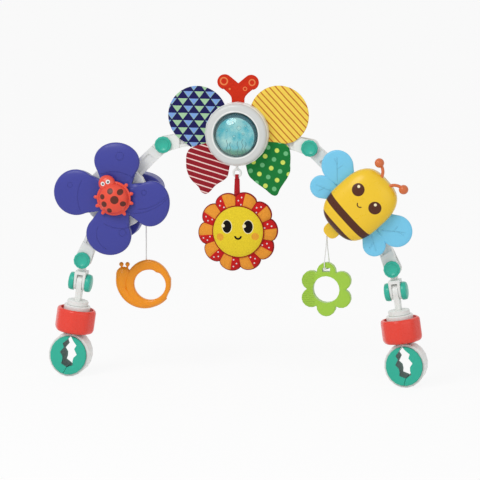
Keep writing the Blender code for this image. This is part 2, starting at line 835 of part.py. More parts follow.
def hinge_half_depth():
    return TONGUE_THICKNESS / 2 + RUNNING_GAP + CHEEK_THICKNESS


def knob(name, frame):
    """Round teal knob whose pin runs through the folding joint."""
    face = hinge_half_depth() + FACE_GAP
    front = face + KNOB_HEIGHT
    rim = front - EDGE_CHAMFER
    floor = front - KNOB_DISH_DEPTH
    back = -hinge_half_depth()
    profile = [
        (0.0, floor), (KNOB_DISH_RADIUS, floor), (KNOB_DISH_RADIUS + KNOB_DISH_DEPTH, front),
        (KNOB_RADIUS - EDGE_CHAMFER, front), (KNOB_RADIUS, rim), (KNOB_RADIUS, face),
        (PIN_RADIUS, face), (PIN_RADIUS, back), (0.0, back),
    ]
    mesh = turned(name, profile, MIDDLE_STEPS, "Y")
    mesh.transform(Matrix.Rotation(math.pi, 4, "Z"))
    smooth(piece(name, mesh, frame, teal_plastic()))


def clamp(side, outward, frame):
    """All pieces of one clamp. Outward is the sign of X on the side away from the arch."""
    clamp_neck(f"{side}_clamp_neck", frame)
    neck_cap(f"{side}_neck_cap", frame)
    clamp_nut(f"{side}_clamp_nut", frame)
    clamp_collar(f"{side}_clamp_collar", frame)
    for place, sign in (("outer", outward), ("inner", -outward)):
        jaw_shell(f"{side}_jaw_{place}_shell", frame, sign, place)
        jaw_pad(f"{side}_jaw_{place}_pad", frame, sign)


def tilt_hinge(side, outward, frame):
    """The link and its two caps, in the frame of the tilt axis."""
    link(f"{side}_link", frame)
    tilt_bolt(f"{side}_tilt_bolt", frame, outward)
    tilt_cap(f"{side}_tilt_cap", frame, -outward)


# Arms and beam

def bow(along, chord, bulge):
    """Height of a bar's middle line over its chord, a shallow parabola."""
    share = 2.0 * along / chord - 1.0
    return bulge * (1.0 - share * share)


def bar_band(chord, bulge, start, end, width):
    """Outline of a bowed band between two places along the chord."""
    places = np.linspace(start, end, BAR_STEPS + 1)
    upper = [(x, bow(x, chord, bulge) + width / 2) for x in places]
    lower = [(x, bow(x, chord, bulge) - width / 2) for x in places[::-1]]
    return lower[::-1] + upper[::-1]


def bar_end(radius, chord, bulge):
    """Outline of a round bar end, from the knob's axis out to where the bar begins."""
    height = bow(FORK_REACH, chord, bulge)
    slope = math.degrees(math.atan2(height, FORK_REACH))
    outline = arc((0.0, 0.0), radius, 75.0 + slope, 285.0 + slope, BAR_STEPS)
    return outline + [(FORK_REACH, height - BAR_WIDTH / 2), (FORK_REACH, height + BAR_WIDTH / 2)]


def flipped(outline, chord):
    return [(chord - x, z) for x, z in outline[::-1]]


def bar(name, frame, chord, bulge, forks):
    """Bowed bar with a fork or a tongue at each end, and a long channel in both faces."""
    gap = CHEEK_RADIUS + TURNING_GAP
    half = BAR_DEPTH / 2
    body = bar_band(chord, bulge, gap, chord - gap, BAR_WIDTH)
    made = piece(name, prism(name, body, -half, half), frame, white_plastic())
    for at_start, is_fork in zip((True, False), forks):
        add_bar_end(made, chord, bulge, at_start, is_fork)
    reach = gap + FORK_REACH / 2
    channel = bar_band(chord, bulge, reach, chord - reach, CHANNEL_WIDTH)
    floor = half - CHANNEL_DEPTH
    for sign in (-1, 1):
        cut(made, prism("channel", channel, sign * floor, sign * (half + OVERRUN)))
    return made


def add_bar_end(made, chord, bulge, at_start, is_fork):
    """Join a fork's two cheeks or a tongue to one end of a bar, and bore it."""
    radius = CHEEK_RADIUS if is_fork else TONGUE_RADIUS
    outline = bar_end(radius, chord, bulge)
    centre = (0.0, 0.0)
    if not at_start:
        outline = flipped(outline, chord)
        centre = (chord, 0.0)
    tongue = TONGUE_THICKNESS / 2
    if is_fork:
        inner = tongue + RUNNING_GAP
        for sign in (-1, 1):
            join(made, prism("cheek", outline, sign * inner, sign * hinge_half_depth()))
    else:
        join(made, prism("tongue", outline, -tongue, tongue))
    cut(made, knob_bore(centre))



# Shared soft and domed shapes

def crowned(name, outline, rings, apex):
    """Closed body of shrinking rings: each is a share of the outline, at one depth."""
    shape = bmesh.new()
    loops = []
    for share, depth in rings:
        loops.append([shape.verts.new((x * share, depth, z * share)) for x, z in outline])
    for first, second in zip(loops, loops[1:]):
        bridge(shape, first, second)
    shape.faces.new(loops[0])
    top = shape.verts.new((0.0, apex, 0.0))
    last = loops[-1]
    for here, following in zip(last, last[1:] + last[:1]):
        shape.faces.new((here, following, top))
    return finished(shape, name)


def bridge(shape, first, second):
    """Join two loops of as many points with four-sided faces."""
    count = len(first)
    for i in range(count):
        j = (i + 1) % count
        shape.faces.new((first[i], first[j], second[j], second[i]))


def turned_outline(outline, degrees):
    """Turn an outline about its frame's origin."""
    cosine = math.cos(math.radians(degrees))
    sine = math.sin(math.radians(degrees))
    return [(x * cosine - z * sine, x * sine + z * cosine) for x, z in outline]


def moved_outline(outline, offset):
    return [(x + offset[0], z + offset[1]) for x, z in outline]


# Flower

def flower_base_front():
    return BAR_DEPTH / 2 + FACE_GAP + FLOWER_BASE_THICKNESS


def rotor_front():
    return flower_base_front() + RUNNING_GAP + ROTOR_THICKNESS


def ladybird_front():
    return rotor_front() + FACE_GAP + LADYBIRD_BASE + LADYBIRD_DOME_HEIGHT


def casing_front():
    return BAR_DEPTH / 2 + FACE_GAP


def casing_back():
    return casing_front() + CASING_DEPTH


def spindle_bore(centre, radius):
    """Bore along Y that is long enough for every piece on the spindle."""
    deep = ladybird_front() + casing_back()
    return prism("spindle_bore", circle(centre, radius, COARSE_STEPS), -deep, deep)


def flower_base(frame):
    """White disc on the front of the arm, which the flower turns on."""
    back = -casing_front()
    front = -flower_base_front()
    profile = [
        (SPINDLE_RADIUS + RUNNING_GAP, back), (FLOWER_BASE_RADIUS, back),
        (FLOWER_BASE_RADIUS, front + EDGE_CHAMFER), (FLOWER_BASE_RADIUS - EDGE_CHAMFER, front),
        (SPINDLE_RADIUS + RUNNING_GAP, front),
    ]
    smooth(piece("flower_base", turned("flower_base", profile, FINE_STEPS, "Y"), frame,
                 white_plastic()))


def petal_outline():
    """Four mushroom petals round the flower's middle, in one outline."""
    outline = []
    for k in range(PETALS):
        head = arc((0.0, 0.0), 1.0, -PETAL_SWEEP, PETAL_SWEEP, PETAL_STEPS)
        petal = [(PETAL_CENTRE + x * PETAL_HALF_LENGTH, z * PETAL_HALF_WIDTH) for x, z in head]
        petal.append((PETAL_NECK_HALF, PETAL_NECK_HALF))
        outline += turned_outline(petal, FLOWER_TURN + 360.0 * k / PETALS)
    return outline


def flower_rotor(frame):
    """Purple flower with four soft petals."""
    back = -flower_base_front() - RUNNING_GAP
    mesh = prism("flower_rotor", petal_outline(), back, -rotor_front())
    rotor = piece("flower_rotor", mesh, frame, plastic("purple_plastic", PURPLE))
    soften(rotor, ROTOR_SOFTNESS, 2, STEEP_ANGLE)
    cut(rotor, spindle_bore((0.0, 0.0), SPINDLE_RADIUS + FACE_GAP))
    smooth(rotor)


def domed_profile(radius, start, height, steps):
    """Quarter of an ellipse from the rim at a start depth up to the crown."""
    angles = np.linspace(0.0, math.pi / 2, steps + 1)
    return [(radius * math.cos(a), start + height * math.sin(a)) for a in angles]


def ladybird(frame):
    """Ladybird on the flower's middle: a base disc, a domed back and a round head."""
    back = rotor_front() + FACE_GAP
    base = back + LADYBIRD_BASE
    dome = domed_profile(LADYBIRD_DOME_RADIUS, base, LADYBIRD_DOME_HEIGHT, DOME_STEPS)
    profile = [(0.0, back), (LADYBIRD_RADIUS, back), (LADYBIRD_RADIUS, base)] + dome[:-1]
    profile.append((0.0, ladybird_front()))
    mesh = turned("ladybird", [(r, -h) for r, h in profile], FINE_STEPS, "Y")
    bug = piece("ladybird", mesh, frame, plastic("red_plastic", RED))
    head = domed_profile(LADYBIRD_HEAD_RADIUS, base - EDGE_CHAMFER, LADYBIRD_DOME_HEIGHT / 2, DOME_STEPS)
    head = [(0.0, base - EDGE_CHAMFER)] + head[:-1] + [(0.0, head[-1][1])]
    tool = turned("head", [(r, -h) for r, h in head], MIDDLE_STEPS, "Y")
    join(bug, shift(tool, (LADYBIRD_HEAD_OUT[0], 0.0, LADYBIRD_HEAD_OUT[1])))
    floor = -(back + LADYBIRD_BOSS)
    bore = circle((0.0, 0.0), SPINDLE_RADIUS + FACE_GAP, COARSE_STEPS)
    cut(bug, prism("bore", bore, -back + OVERRUN, floor))
    smooth(bug)


def spindle(frame):
    """Axle through flower, base, arm and reel, with a head behind the reel."""
    front = -(rotor_front() + LADYBIRD_BOSS)
    neck = reel_back() + FACE_GAP
    head = neck + SPINDLE_HEAD_THICKNESS
    profile = [
        (0.0, head), (SPINDLE_HEAD_RADIUS, head), (SPINDLE_HEAD_RADIUS, neck),
        (SPINDLE_RADIUS, neck), (SPINDLE_RADIUS, front), (0.0, front),
    ]
    smooth(piece("spindle", turned("spindle", profile, MIDDLE_STEPS, "Y"), frame, spring_steel()))


def casing_outline():
    """Softly lobed outline of the rear casing."""
    outline = []
    for angle in np.linspace(0.0, math.tau, BAR_STEPS * PETALS, endpoint=False):
        lobe = math.cos(PETALS * (angle - math.radians(CASING_TURN)))
        radius = CASING_RADIUS + CASING_SWELL * lobe
        outline.append((radius * math.cos(angle), radius * math.sin(angle)))
    return outline


def rear_casing(frame):
    """Casing behind the arm, open at the back, with the cord's outlet below."""
    mesh = prism("rear_casing", casing_outline(), casing_front(), casing_back())
    casing = piece("rear_casing", mesh, frame, plastic("purple_plastic", PURPLE))
    floor = casing_front() + CASING_WALL
    cavity = circle((0.0, 0.0), CASING_CAVITY_RADIUS, FINE_STEPS)
    cut(casing, prism("cavity", cavity, floor, casing_back() + OVERRUN))
    cut(casing, spindle_bore((0.0, 0.0), SPINDLE_RADIUS + RUNNING_GAP))
    channel = circle((0.0, 0.0), SNAIL_CORD_RADIUS + TURNING_GAP, COARSE_STEPS)
    rod = prism("outlet", channel, -SNAIL_CORD_TOP - OVERRUN, CASING_RADIUS)
    rod.transform(Matrix.Rotation(-math.pi / 2, 4, "X"))
    cut(casing, shift(rod, (SNAIL_CORD_OUT, SNAIL_DEPTH, 0.0)))
    smooth(casing)


def casing_cover(frame):
    """Plate that closes the casing."""
    start = casing_back() + FACE_GAP
    mesh = prism("casing_cover", casing_outline(), start, start + COVER_THICKNESS)
    smooth(piece("casing_cover", mesh, frame, plastic("purple_plastic", PURPLE)))


def reel_back():
    return SNAIL_DEPTH + REEL_RIM_WIDTH / 2


def cord_reel(frame):
    """Grooved reel: its rim takes the cord, and its hub turns on the spindle."""
    bore = SPINDLE_RADIUS + RUNNING_GAP
    groove = SNAIL_CORD_OUT - SNAIL_CORD_RADIUS - FACE_GAP
    half = REEL_RIM_WIDTH / 2
    hub_front = casing_front() + CASING_WALL + REEL_HUB_FRONT - SNAIL_DEPTH
    profile = [
        (bore, half), (REEL_HUB_RADIUS, half), (REEL_HUB_RADIUS, REEL_WEB_HALF),
        (REEL_RIM_INNER, REEL_WEB_HALF), (REEL_RIM_INNER, half), (REEL_RADIUS, half),
        (REEL_RADIUS, REEL_GROOVE_HALF), (groove, REEL_GROOVE_HALF),
        (groove, -REEL_GROOVE_HALF), (REEL_RADIUS, -REEL_GROOVE_HALF), (REEL_RADIUS, -half),
        (REEL_RIM_INNER, -half), (REEL_RIM_INNER, -REEL_WEB_HALF),
        (REEL_HUB_RADIUS, -REEL_WEB_HALF), (REEL_HUB_RADIUS, hub_front), (bore, hub_front),
    ]
    mesh = turned("cord_reel", profile, FINE_STEPS, "Y")
    smooth(piece("cord_reel", shift(mesh, (0.0, SNAIL_DEPTH, 0.0)), frame, grey_plastic()))


def reel_spring(frame):
    """Flat spiral spring between the casing's wall and the reel's web."""
    steps = SPRING_TURNS * FINE_STEPS // 2
    angles = np.linspace(0.0, math.tau * SPRING_TURNS, steps + 1)
    radii = SPRING_INNER_RADIUS + SPRING_PITCH * angles / math.tau
    inner = [(r * math.cos(a), r * math.sin(a)) for r, a in zip(radii, angles)]
    outer = [((r + SPRING_THICKNESS) * math.cos(a), (r + SPRING_THICKNESS) * math.sin(a))
             for r, a in zip(radii, angles)]
    start = casing_front() + CASING_WALL + FACE_GAP
    mesh = prism("reel_spring", inner + outer[::-1], start, start + SPRING_WIDTH)
    smooth(piece("reel_spring", mesh, frame, spring_steel()), STEEP_ANGLE)


# Snail ring

def cord_tube(name, points, radius, frame, look):
    """A cord as a round tube along points of its frame, closed at both ends."""
    curve = bpy.data.curves.new(name, "CURVE")
    curve.dimensions = "3D"
    curve.bevel_depth = radius
    curve.bevel_resolution = 2
    curve.use_fill_caps = True
    line = curve.splines.new("POLY")
    line.points.add(len(points) - 1)
    for target, point in zip(line.points, points):
        target.co = (*point, 1.0)
    made = bpy.data.objects.new(name, curve)
    bpy.context.scene.collection.objects.link(made)
    made.parent = frame
    curve.materials.append(look)
    return made


def snail_cord(frame):
    """The cord hangs straight from the reel's groove to the snail."""
    length = SNAIL_CORD_TOP - SNAIL_CORD_END
    points = [(0.0, 0.0, share * length) for share in np.linspace(0.0, 1.0, 4)]
    look = material("grey_cord", CORD_GREY, 0.8)
    cord_tube("snail_cord", points, SNAIL_CORD_RADIUS, frame, look)


def snail_ring(frame):
    """Orange snail whose shell is a grasping ring."""
    look = plastic("orange_plastic", ORANGE)
    ring_half = SNAIL_THICKNESS / 2
    body_half = SNAIL_BODY_THICKNESS / 2
    ring = circle(SNAIL_RING_OUT, SNAIL_RING_RADIUS, FINE_STEPS)
    snail = piece("snail_ring", prism("snail_ring", ring, -ring_half, ring_half), frame, look)
    soften(snail, EDGE_CHAMFER, 1)
    centre = offset_point(SNAIL_RING_OUT, SNAIL_BODY_OUT)
    neck = offset_point(centre, SNAIL_HEAD_OUT)
    body = [offset_point(SNAIL_RING_OUT, SNAIL_HOLE_OUT)]
    body += arc(neck, SNAIL_HEAD_RADIUS, *SNAIL_HEAD_SWEEP, BAR_STEPS)
    body += arc(centre, SNAIL_BODY_RADIUS, *SNAIL_BODY_SWEEP, BAR_STEPS + BAR_STEPS)
    join(snail, prism("body", body, -body_half, body_half))
    for place in SNAIL_EYES_OUT:
        add_snail_eye(snail, offset_point(centre, place))
    hole = circle(offset_point(SNAIL_RING_OUT, SNAIL_HOLE_OUT), SNAIL_HOLE_RADIUS, FINE_STEPS)
    cut(snail, prism("hole", hole, -SNAIL_THICKNESS, SNAIL_THICKNESS))
    smooth(snail)


def add_snail_eye(snail, place):
    """A stalk with a round eye on the snail's head."""
    half = SNAIL_STALK_HALF
    low = (place[0] - half, -half, place[1] - SNAIL_HEAD_RADIUS)
    join(snail, block("stalk", low, (place[0] + half, half, place[1])))
    join(snail, shift(ball("eye", SNAIL_EYE_RADIUS), (place[0], 0.0, place[1])))


def ball(name, radius):
    shape = bmesh.new()
    bmesh.ops.create_uvsphere(shape, u_segments=COARSE_STEPS, v_segments=COARSE_STEPS // 2 + 2,
                              radius=radius)
    return finished(shape, name)


def offset_point(point, offset):
    return (point[0] + offset[0], point[1] + offset[1])


def build_flower(arm, frame):
    """The spinning flower, its casing behind the arm, and the snail that hangs from it."""
    cut(arm, spindle_bore((FLOWER_ALONG, FLOWER_OUT), SPINDLE_RADIUS + RUNNING_GAP))
    flower_base(frame)
    flower_rotor(frame)
    ladybird(frame)
    spindle(frame)
    rear_casing(frame)
    casing_cover(frame)
    cord_reel(frame)
    reel_spring(frame)
    snail = empty("snail_frame", frame, (SNAIL_CORD_OUT, SNAIL_DEPTH, SNAIL_CORD_END))
    snail_cord(snail)
    snail_ring(snail)



# Hub

def hub_housing(frame):
    """White drum on the beam, open at the back round its boss, with a moulded loop below."""
    plate_back = -HUB_FRONT + HUB_PLATE
    floor = -HUB_FRONT + PICTURE_THICKNESS + FACE_GAP
    pocket = PICTURE_RADIUS + FACE_GAP
    inside = HUB_RADIUS - HUB_WALL
    seat = -casing_front()
    profile = [
        (0.0, floor), (pocket, floor), (pocket, -HUB_FRONT), (HUB_RADIUS - EDGE_CHAMFER, -HUB_FRONT),
        (HUB_RADIUS, -HUB_FRONT + EDGE_CHAMFER), (HUB_RADIUS, -HUB_BACK), (inside, -HUB_BACK),
        (inside, plate_back), (HUB_BOSS_RADIUS, plate_back), (HUB_BOSS_RADIUS, seat), (0.0, seat),
    ]
    housing = piece("hub_housing", turned("hub_housing", profile, FINE_STEPS, "Y"), frame,
                    white_plastic())
    ring = torus("loop", LOOP_RADIUS, LOOP_THICKNESS)
    join(housing, shift(ring, (0.0, LOOP_DEPTH, -LOOP_DROP)))
    half = LOOP_THICKNESS
    low = (-half, LOOP_DEPTH - half, LOOP_RADIUS - LOOP_DROP - LOOP_THICKNESS / 2)
    join(housing, block("tab", low, (half, LOOP_DEPTH + half, HUB_WALL / 2 - HUB_RADIUS)))
    smooth(housing)


def torus(name, radius, thickness):
    """A ring that lies in the XZ plane."""
    angles = np.linspace(0.0, 360.0, COARSE_STEPS + 1)[:-1]
    section = [(radius + thickness * math.cos(math.radians(a)), thickness * math.sin(math.radians(a)))
               for a in angles]
    return turned(name, section, MIDDLE_STEPS, "Y")


def picture_disc(frame):
    """Round picture in the housing's pocket, under the dome."""
    back = -HUB_FRONT + PICTURE_THICKNESS
    profile = [(0.0, back), (PICTURE_RADIUS, back), (PICTURE_RADIUS, -HUB_FRONT), (0.0, -HUB_FRONT)]
    smooth(piece("picture_disc", turned("picture_disc", profile, FINE_STEPS, "Y"), frame,
                 plastic("aqua_plastic", AQUA)))


def dome_lens(frame):
    """Clear domed window whose flange the bezel holds down."""
    seat = HUB_FRONT + FACE_GAP
    step = seat + LENS_FLANGE
    outer = domed_profile(LENS_RADIUS, step, LENS_HEIGHT, DOME_STEPS)
    inner = domed_profile(LENS_RADIUS - LENS_WALL, seat, LENS_HEIGHT + LENS_FLANGE - LENS_WALL, DOME_STEPS)
    profile = [(0.0, inner[-1][1])] + inner[-2::-1]
    profile += [(LENS_FLANGE_RADIUS, seat), (LENS_FLANGE_RADIUS, step)] + outer[:-1]
    profile.append((0.0, outer[-1][1]))
    mesh = turned("dome_lens", [(r, -h) for r, h in profile], FINE_STEPS, "Y")
    smooth(piece("dome_lens", mesh, frame, clear_plastic()))


def hub_bezel(frame):
    """White ring round the dome, which slopes in towards it."""
    seat = -(HUB_FRONT + FACE_GAP)
    rebate = seat - LENS_FLANGE - FACE_GAP
    shoulder = LENS_FLANGE_RADIUS + FACE_GAP
    front = seat - BEZEL_THICKNESS
    middle = (BEZEL_RADIUS + BEZEL_HOLE_RADIUS) / 2
    profile = [
        (shoulder, seat), (BEZEL_RADIUS, seat), (BEZEL_RADIUS, seat - BEZEL_THICKNESS / 2),
        (middle + EDGE_CHAMFER, front), (middle - EDGE_CHAMFER, front),
        (BEZEL_HOLE_RADIUS, front + EDGE_CHAMFER), (BEZEL_HOLE_RADIUS, rebate),
        (shoulder, rebate),
    ]
    smooth(piece("hub_bezel", turned("hub_bezel", profile, FINE_STEPS, "Y"), frame,
                 white_plastic()))


def cloth_piece(name, outline, frame, look):
    """A flat padded shape cut from cloth, gripped behind the hub."""
    back = CLOTH_FRONT + CLOTH_THICKNESS
    made = piece(name, prism(name, outline, CLOTH_FRONT, back), frame, look)
    soften(made, CLOTH_SOFTNESS, 1, STEEP_ANGLE)
    smooth(made, STEEP_ANGLE)


def upper_wing(name, sign, frame, look):
    """One printed upper wing."""
    pick = (sign + 1) // 2
    centre = UPPER_WING_CENTRES[pick]
    start, end = UPPER_WING_SWEEP
    curve = arc((0.0, centre[1]), UPPER_WING_RADIUS, start, end, BAR_STEPS + BAR_STEPS)
    outline = [(centre[0] + sign * x, z) for x, z in curve]
    outline += [(-sign * x, z) for x, z in WING_ROOTS[::-1]]
    outline.append(UPPER_WING_TIPS[pick])
    cloth_piece(name, outline, frame, look)


def antennae_felt(frame):
    """Felt antennae: two round lobes on one stem."""
    x, z = ANTENNA_LOBE_OUT
    lobe = arc((x, z), ANTENNA_LOBE_RADIUS, -85.0, 200.0, BAR_STEPS)
    half = [(ANTENNA_STEM_HALF, ANTENNA_ROOT), ANTENNA_BEND] + lobe
    mirrored = [(-x, z) for x, z in half[::-1]]
    cloth_piece("antennae_felt", half + [ANTENNA_NOTCH] + mirrored, frame, cloth("red_felt", RED))


def build_hub(frame):
    """The hub with its window, wings and antennae, on the front of the beam."""
    hub_housing(frame)
    picture_disc(frame)
    dome_lens(frame)
    hub_bezel(frame)
    upper_wing("wing_upper_left", -1, frame, cloth("navy_cloth", NAVY))
    upper_wing("wing_upper_right", 1, frame, cloth("yellow_cloth", YELLOW))
    cloth_piece("wing_lower_left", LOWER_WING_LEFT, frame, cloth("maroon_cloth", MAROON))
    cloth_piece("wing_lower_right", LOWER_WING_RIGHT, frame, cloth("green_cloth", LEAF))
    antennae_felt(frame)


# Sun

def sun_ribbon(frame):
    """Ribbon with an eye round the bottom of the hub's loop."""
    outer = RIBBON_EYE_INNER + RIBBON_THICKNESS
    half = RIBBON_TOP_HALF
    eye = prism("sun_ribbon", circle((0.0, 0.0), outer, MIDDLE_STEPS), -half, half, "X")
    ribbon = piece("sun_ribbon", eye, frame, cloth("red_ribbon", RED))
    tall = RIBBON_LENGTH + RIBBON_EYE_INNER
    strip = [(-RIBBON_BOTTOM_HALF, -tall), (RIBBON_BOTTOM_HALF, -tall),
             (half, -RIBBON_EYE_INNER - FACE_GAP), (-half, -RIBBON_EYE_INNER - FACE_GAP)]
    join(ribbon, prism("strip", strip, -RIBBON_THICKNESS, RIBBON_THICKNESS))
    hole = circle((0.0, 0.0), RIBBON_EYE_INNER, MIDDLE_STEPS)
    cut(ribbon, prism("eye", hole, -RIBBON_BOTTOM_HALF, RIBBON_BOTTOM_HALF, "X"))
    smooth(ribbon)


def sun_outline():
    """Ten round petals, as a wave round the sun's middle."""
    outline = []
    for angle in np.linspace(0.0, math.tau, SUN_PETALS * SUN_POINTS, endpoint=False):
        wave = abs(math.cos(SUN_PETALS / 2 * (angle - math.radians(SUN_TURN))))
        radius = SUN_VALLEY_RADIUS + SUN_PETAL_HEIGHT * math.sqrt(wave)
        outline.append((radius * math.cos(angle), radius * math.sin(angle)))
    return outline


def pillow_depth(share):
    """Half the thickness of the sun at a share of its outline."""
    return SUN_HALF_THICKNESS * math.sqrt(1.0 - share ** SUN_PLUMPNESS)


def sun_body(frame):
    """Stuffed ring of petals that swells to its middle."""
    rings = [(share, pillow_depth(share)) for share in SUN_RING_SHARES]
    rings.append((1.0, 0.0))
    rings += [(share, -pillow_depth(share)) for share in SUN_RING_SHARES[::-1]]
    mesh = crowned("sun_body", sun_outline(), rings, -SUN_HALF_THICKNESS)
    smooth(piece("sun_body", shift(mesh, sun_middle()), frame, cloth("orange_cloth", ORANGE)),
           STEEP_ANGLE)


def rim_height(x):
    """Height of the petals' upper rim over the sun's middle."""
    rim = sorted(point for point in sun_outline() if point[1] > SUN_VALLEY_RADIUS / 2)
    return float(np.interp(x, [point[0] for point in rim], [point[1] for point in rim]))


def sun_middle():
    """The middle of the sun, whose rim meets the bottom of the ribbon."""
    sides = (-RIBBON_BOTTOM_HALF, 0.0, RIBBON_BOTTOM_HALF)
    rim = max(rim_height(side - SUN_SHIFT) for side in sides)
    return (SUN_SHIFT, 0.0, -rim - FACE_GAP)


def sun_face(frame):
    """Padded round face on the front of the petals."""
    back = SUN_HALF_THICKNESS + FACE_GAP
    dome = domed_profile(SUN_FACE_RADIUS, back + EDGE_CHAMFER, SUN_FACE_HEIGHT, DOME_STEPS)
    profile = [(0.0, back), (SUN_FACE_RADIUS, back)] + dome[:-1] + [(0.0, dome[-1][1])]
    mesh = turned("sun_face", [(r, -h) for r, h in profile], FINE_STEPS, "Y")
    middle = sun_middle()
    place = (middle[0] + SUN_FACE_OUT[0], 0.0, middle[2] + SUN_FACE_OUT[1])
    smooth(piece("sun_face", shift(mesh, place), frame, cloth("yellow_cloth", YELLOW)))


def build_sun(hub):
    """The sun, which swings on the loop and sways on the end of its ribbon."""
    loop = empty("ribbon_frame", hub, (0.0, LOOP_DEPTH, -LOOP_DROP - LOOP_RADIUS))
    sun_ribbon(loop)
    drop = RIBBON_LENGTH + RIBBON_EYE_INNER + FACE_GAP
    sun = empty("sun_frame", loop, (0.0, 0.0, -drop))
    sun_body(sun)
    sun_face(sun)



# Bee

def bee_outline(share=1.0):
    """Rounded body of the bee, along its own axis: a superellipse."""
    outline = []
    for angle in np.linspace(0.0, math.tau, BEE_POINTS, endpoint=False):
        along = rounded(math.cos(angle), BEE_POWER) * BEE_LENGTH_HALF * share
        across = rounded(math.sin(angle), BEE_POWER) * BEE_WIDTH_HALF * share
        outline.append((along, across))
    return outline


def rounded(value, power):
    """Signed root that turns a circle into a superellipse."""
    return math.copysign(abs(value) ** (2.0 / power), value)


def bee_shell(name, shares, frame):
    """One half of the bee: rings of shares of its outline, at depths, ending in a crown."""
    rings = shares[:-1]
    apex = shares[-1][1]
    mesh = crowned(name, bee_outline(), rings, apex)
    shift(mesh, (BEE_MIDDLE, 0.0, 0.0))
    return piece(name, mesh, frame, plastic("bee_yellow", YELLOW))


def bee_wing_back():
    return BEE_WING_FRONT + BEE_WING_THICKNESS


def bee_front(frame):
    """Domed front shell, with a pocket and two holes for the feelers."""
    back = BEE_WING_FRONT - FACE_GAP
    deep = back - BEE_FRONT
    rings = [(share, back - rise * deep) for share, rise in BEE_FRONT_SHARES]
    shell = bee_shell("bee_front", rings, frame)
    reach = BEE_FEELER_RADIUS + FACE_GAP
    side = BEE_FEELER_HALF + reach
    low = (BEE_FEELER_INSIDE - reach, BEE_FEELER_DEPTH - reach, -side)
    high = (BEE_FEELER_INSIDE + reach, back + OVERRUN, side)
    cut(shell, block("pocket", low, high))
    end = BEE_LENGTH_HALF + BEE_MIDDLE + OVERRUN
    for sign in (-1, 1):
        outline = circle((BEE_FEELER_DEPTH, sign * BEE_FEELER_HALF), reach, COARSE_STEPS)
        cut(shell, prism("hole", outline, BEE_FEELER_INSIDE, end, "X"))
    smooth(shell)


def bee_back(frame):
    """Back shell on the arm, with the round tail that the teether hangs from."""
    front = bee_wing_back() + FACE_GAP
    deep = BEE_BACK - front
    rings = [(share, front + rise * deep) for share, rise in BEE_BACK_SHARES]
    shell = bee_shell("bee_back", rings, frame)
    tail = circle((-BEE_TAIL_OUT, 0.0), BEE_TAIL_RADIUS, MIDDLE_STEPS)
    start = front + FACE_GAP
    join(shell, prism("tail", tail, start, start + BEE_TAIL_THICKNESS))
    smooth(shell)


def bee_wings(frame):
    """Four wings in one plate, held between the shells."""
    back = bee_wing_back()
    middle = moved_outline(bee_outline(BEE_PLATE_SHARE), (BEE_MIDDLE, 0.0))
    wings = piece("bee_wings", prism("bee_wings", middle, BEE_WING_FRONT, back), frame,
                  plastic("sky_plastic", SKY))
    sizes = (
        (BEE_BIG_WING_PLACE, BEE_BIG_WING_RADIUS), (BEE_SMALL_WING_PLACE, BEE_SMALL_WING_RADIUS),
    )
    for (along, across), radius in sizes:
        for sign in (-1, 1):
            outline = bee_wing_outline(along, sign * across, radius)
            join(wings, prism("wing", outline, BEE_WING_FRONT, back))
    smooth(wings)


def bee_wing_outline(along, across, radius):
    """Drop-shaped wing, narrow where it leaves the body."""
    outward = math.degrees(math.atan2(across, along))
    outline = arc((along, across), radius, outward - BEE_WING_SWEEP, outward + BEE_WING_SWEEP,
                  BAR_STEPS)
    root = (along * BEE_WING_ROOT_SHARE, across * BEE_WING_ROOT_SHARE)
    return outline + [root]


def bee_antennae(frame):
    """Two feelers with round tips, made as one bent rod held in the front shell."""
    points = feeler_points()
    rod = sweep("bee_antennae", points, BEE_FEELER_RADIUS)
    feelers = piece("bee_antennae", rod, frame, plastic("rust_plastic", RUST))
    for end in (points[0], points[-1]):
        join(feelers, shift(ball("tip", BEE_FEELER_BALL), end))
    smooth(feelers)


def feeler_points():
    """The rod's route: in from one tip, across inside the shell and out to the other."""
    neck = BEE_LENGTH_HALF + BEE_MIDDLE
    tip_along, tip_across = BEE_FEELER_TIP
    half = BEE_FEELER_HALF
    steps = np.linspace(1.0, 0.0, BAR_STEPS // 2 + 1)
    side = []
    for share in steps:
        bend = math.sin(share * math.pi / 2)
        across = half + (tip_across - half) * (1.0 - math.cos(share * math.pi / 2))
        side.append((neck + (tip_along - neck) * bend, BEE_FEELER_DEPTH, across))
    side.append((BEE_FEELER_INSIDE, BEE_FEELER_DEPTH, half))
    return side + [(x, y, -z) for x, y, z in side[::-1]]


def sweep(name, points, radius):
    """A round rod along points in the XZ plane, with flat ends."""
    shape = bmesh.new()
    route = [Vector(point) for point in points]
    loops = []
    runs = [(after - before).normalized() for before, after in zip(route, route[1:])]
    for i, point in enumerate(route):
        arriving = runs[max(i - 1, 0)]
        leaving = runs[min(i, len(runs) - 1)]
        along = (arriving + leaving).normalized()
        side = Vector((-along.z, 0.0, along.x))
        stretch = 1.0 / along.dot(arriving)
        loop = []
        for angle in np.linspace(0.0, math.tau, COARSE_STEPS, endpoint=False):
            offset = side * (math.cos(angle) * radius * stretch)
            offset += Vector((0.0, math.sin(angle) * radius, 0.0))
            loop.append(shape.verts.new(point + offset))
        loops.append(loop)
    for first, second in zip(loops, loops[1:]):
        bridge(shape, first, second)
    shape.faces.new(loops[0])
    shape.faces.new(loops[-1])
    return finished(shape, name)


def build_bee(frame):
    """The bee, on the front of the right arm."""
    bee_front(frame)
    bee_back(frame)
    bee_wings(frame)
    bee_antennae(frame)


# Teether

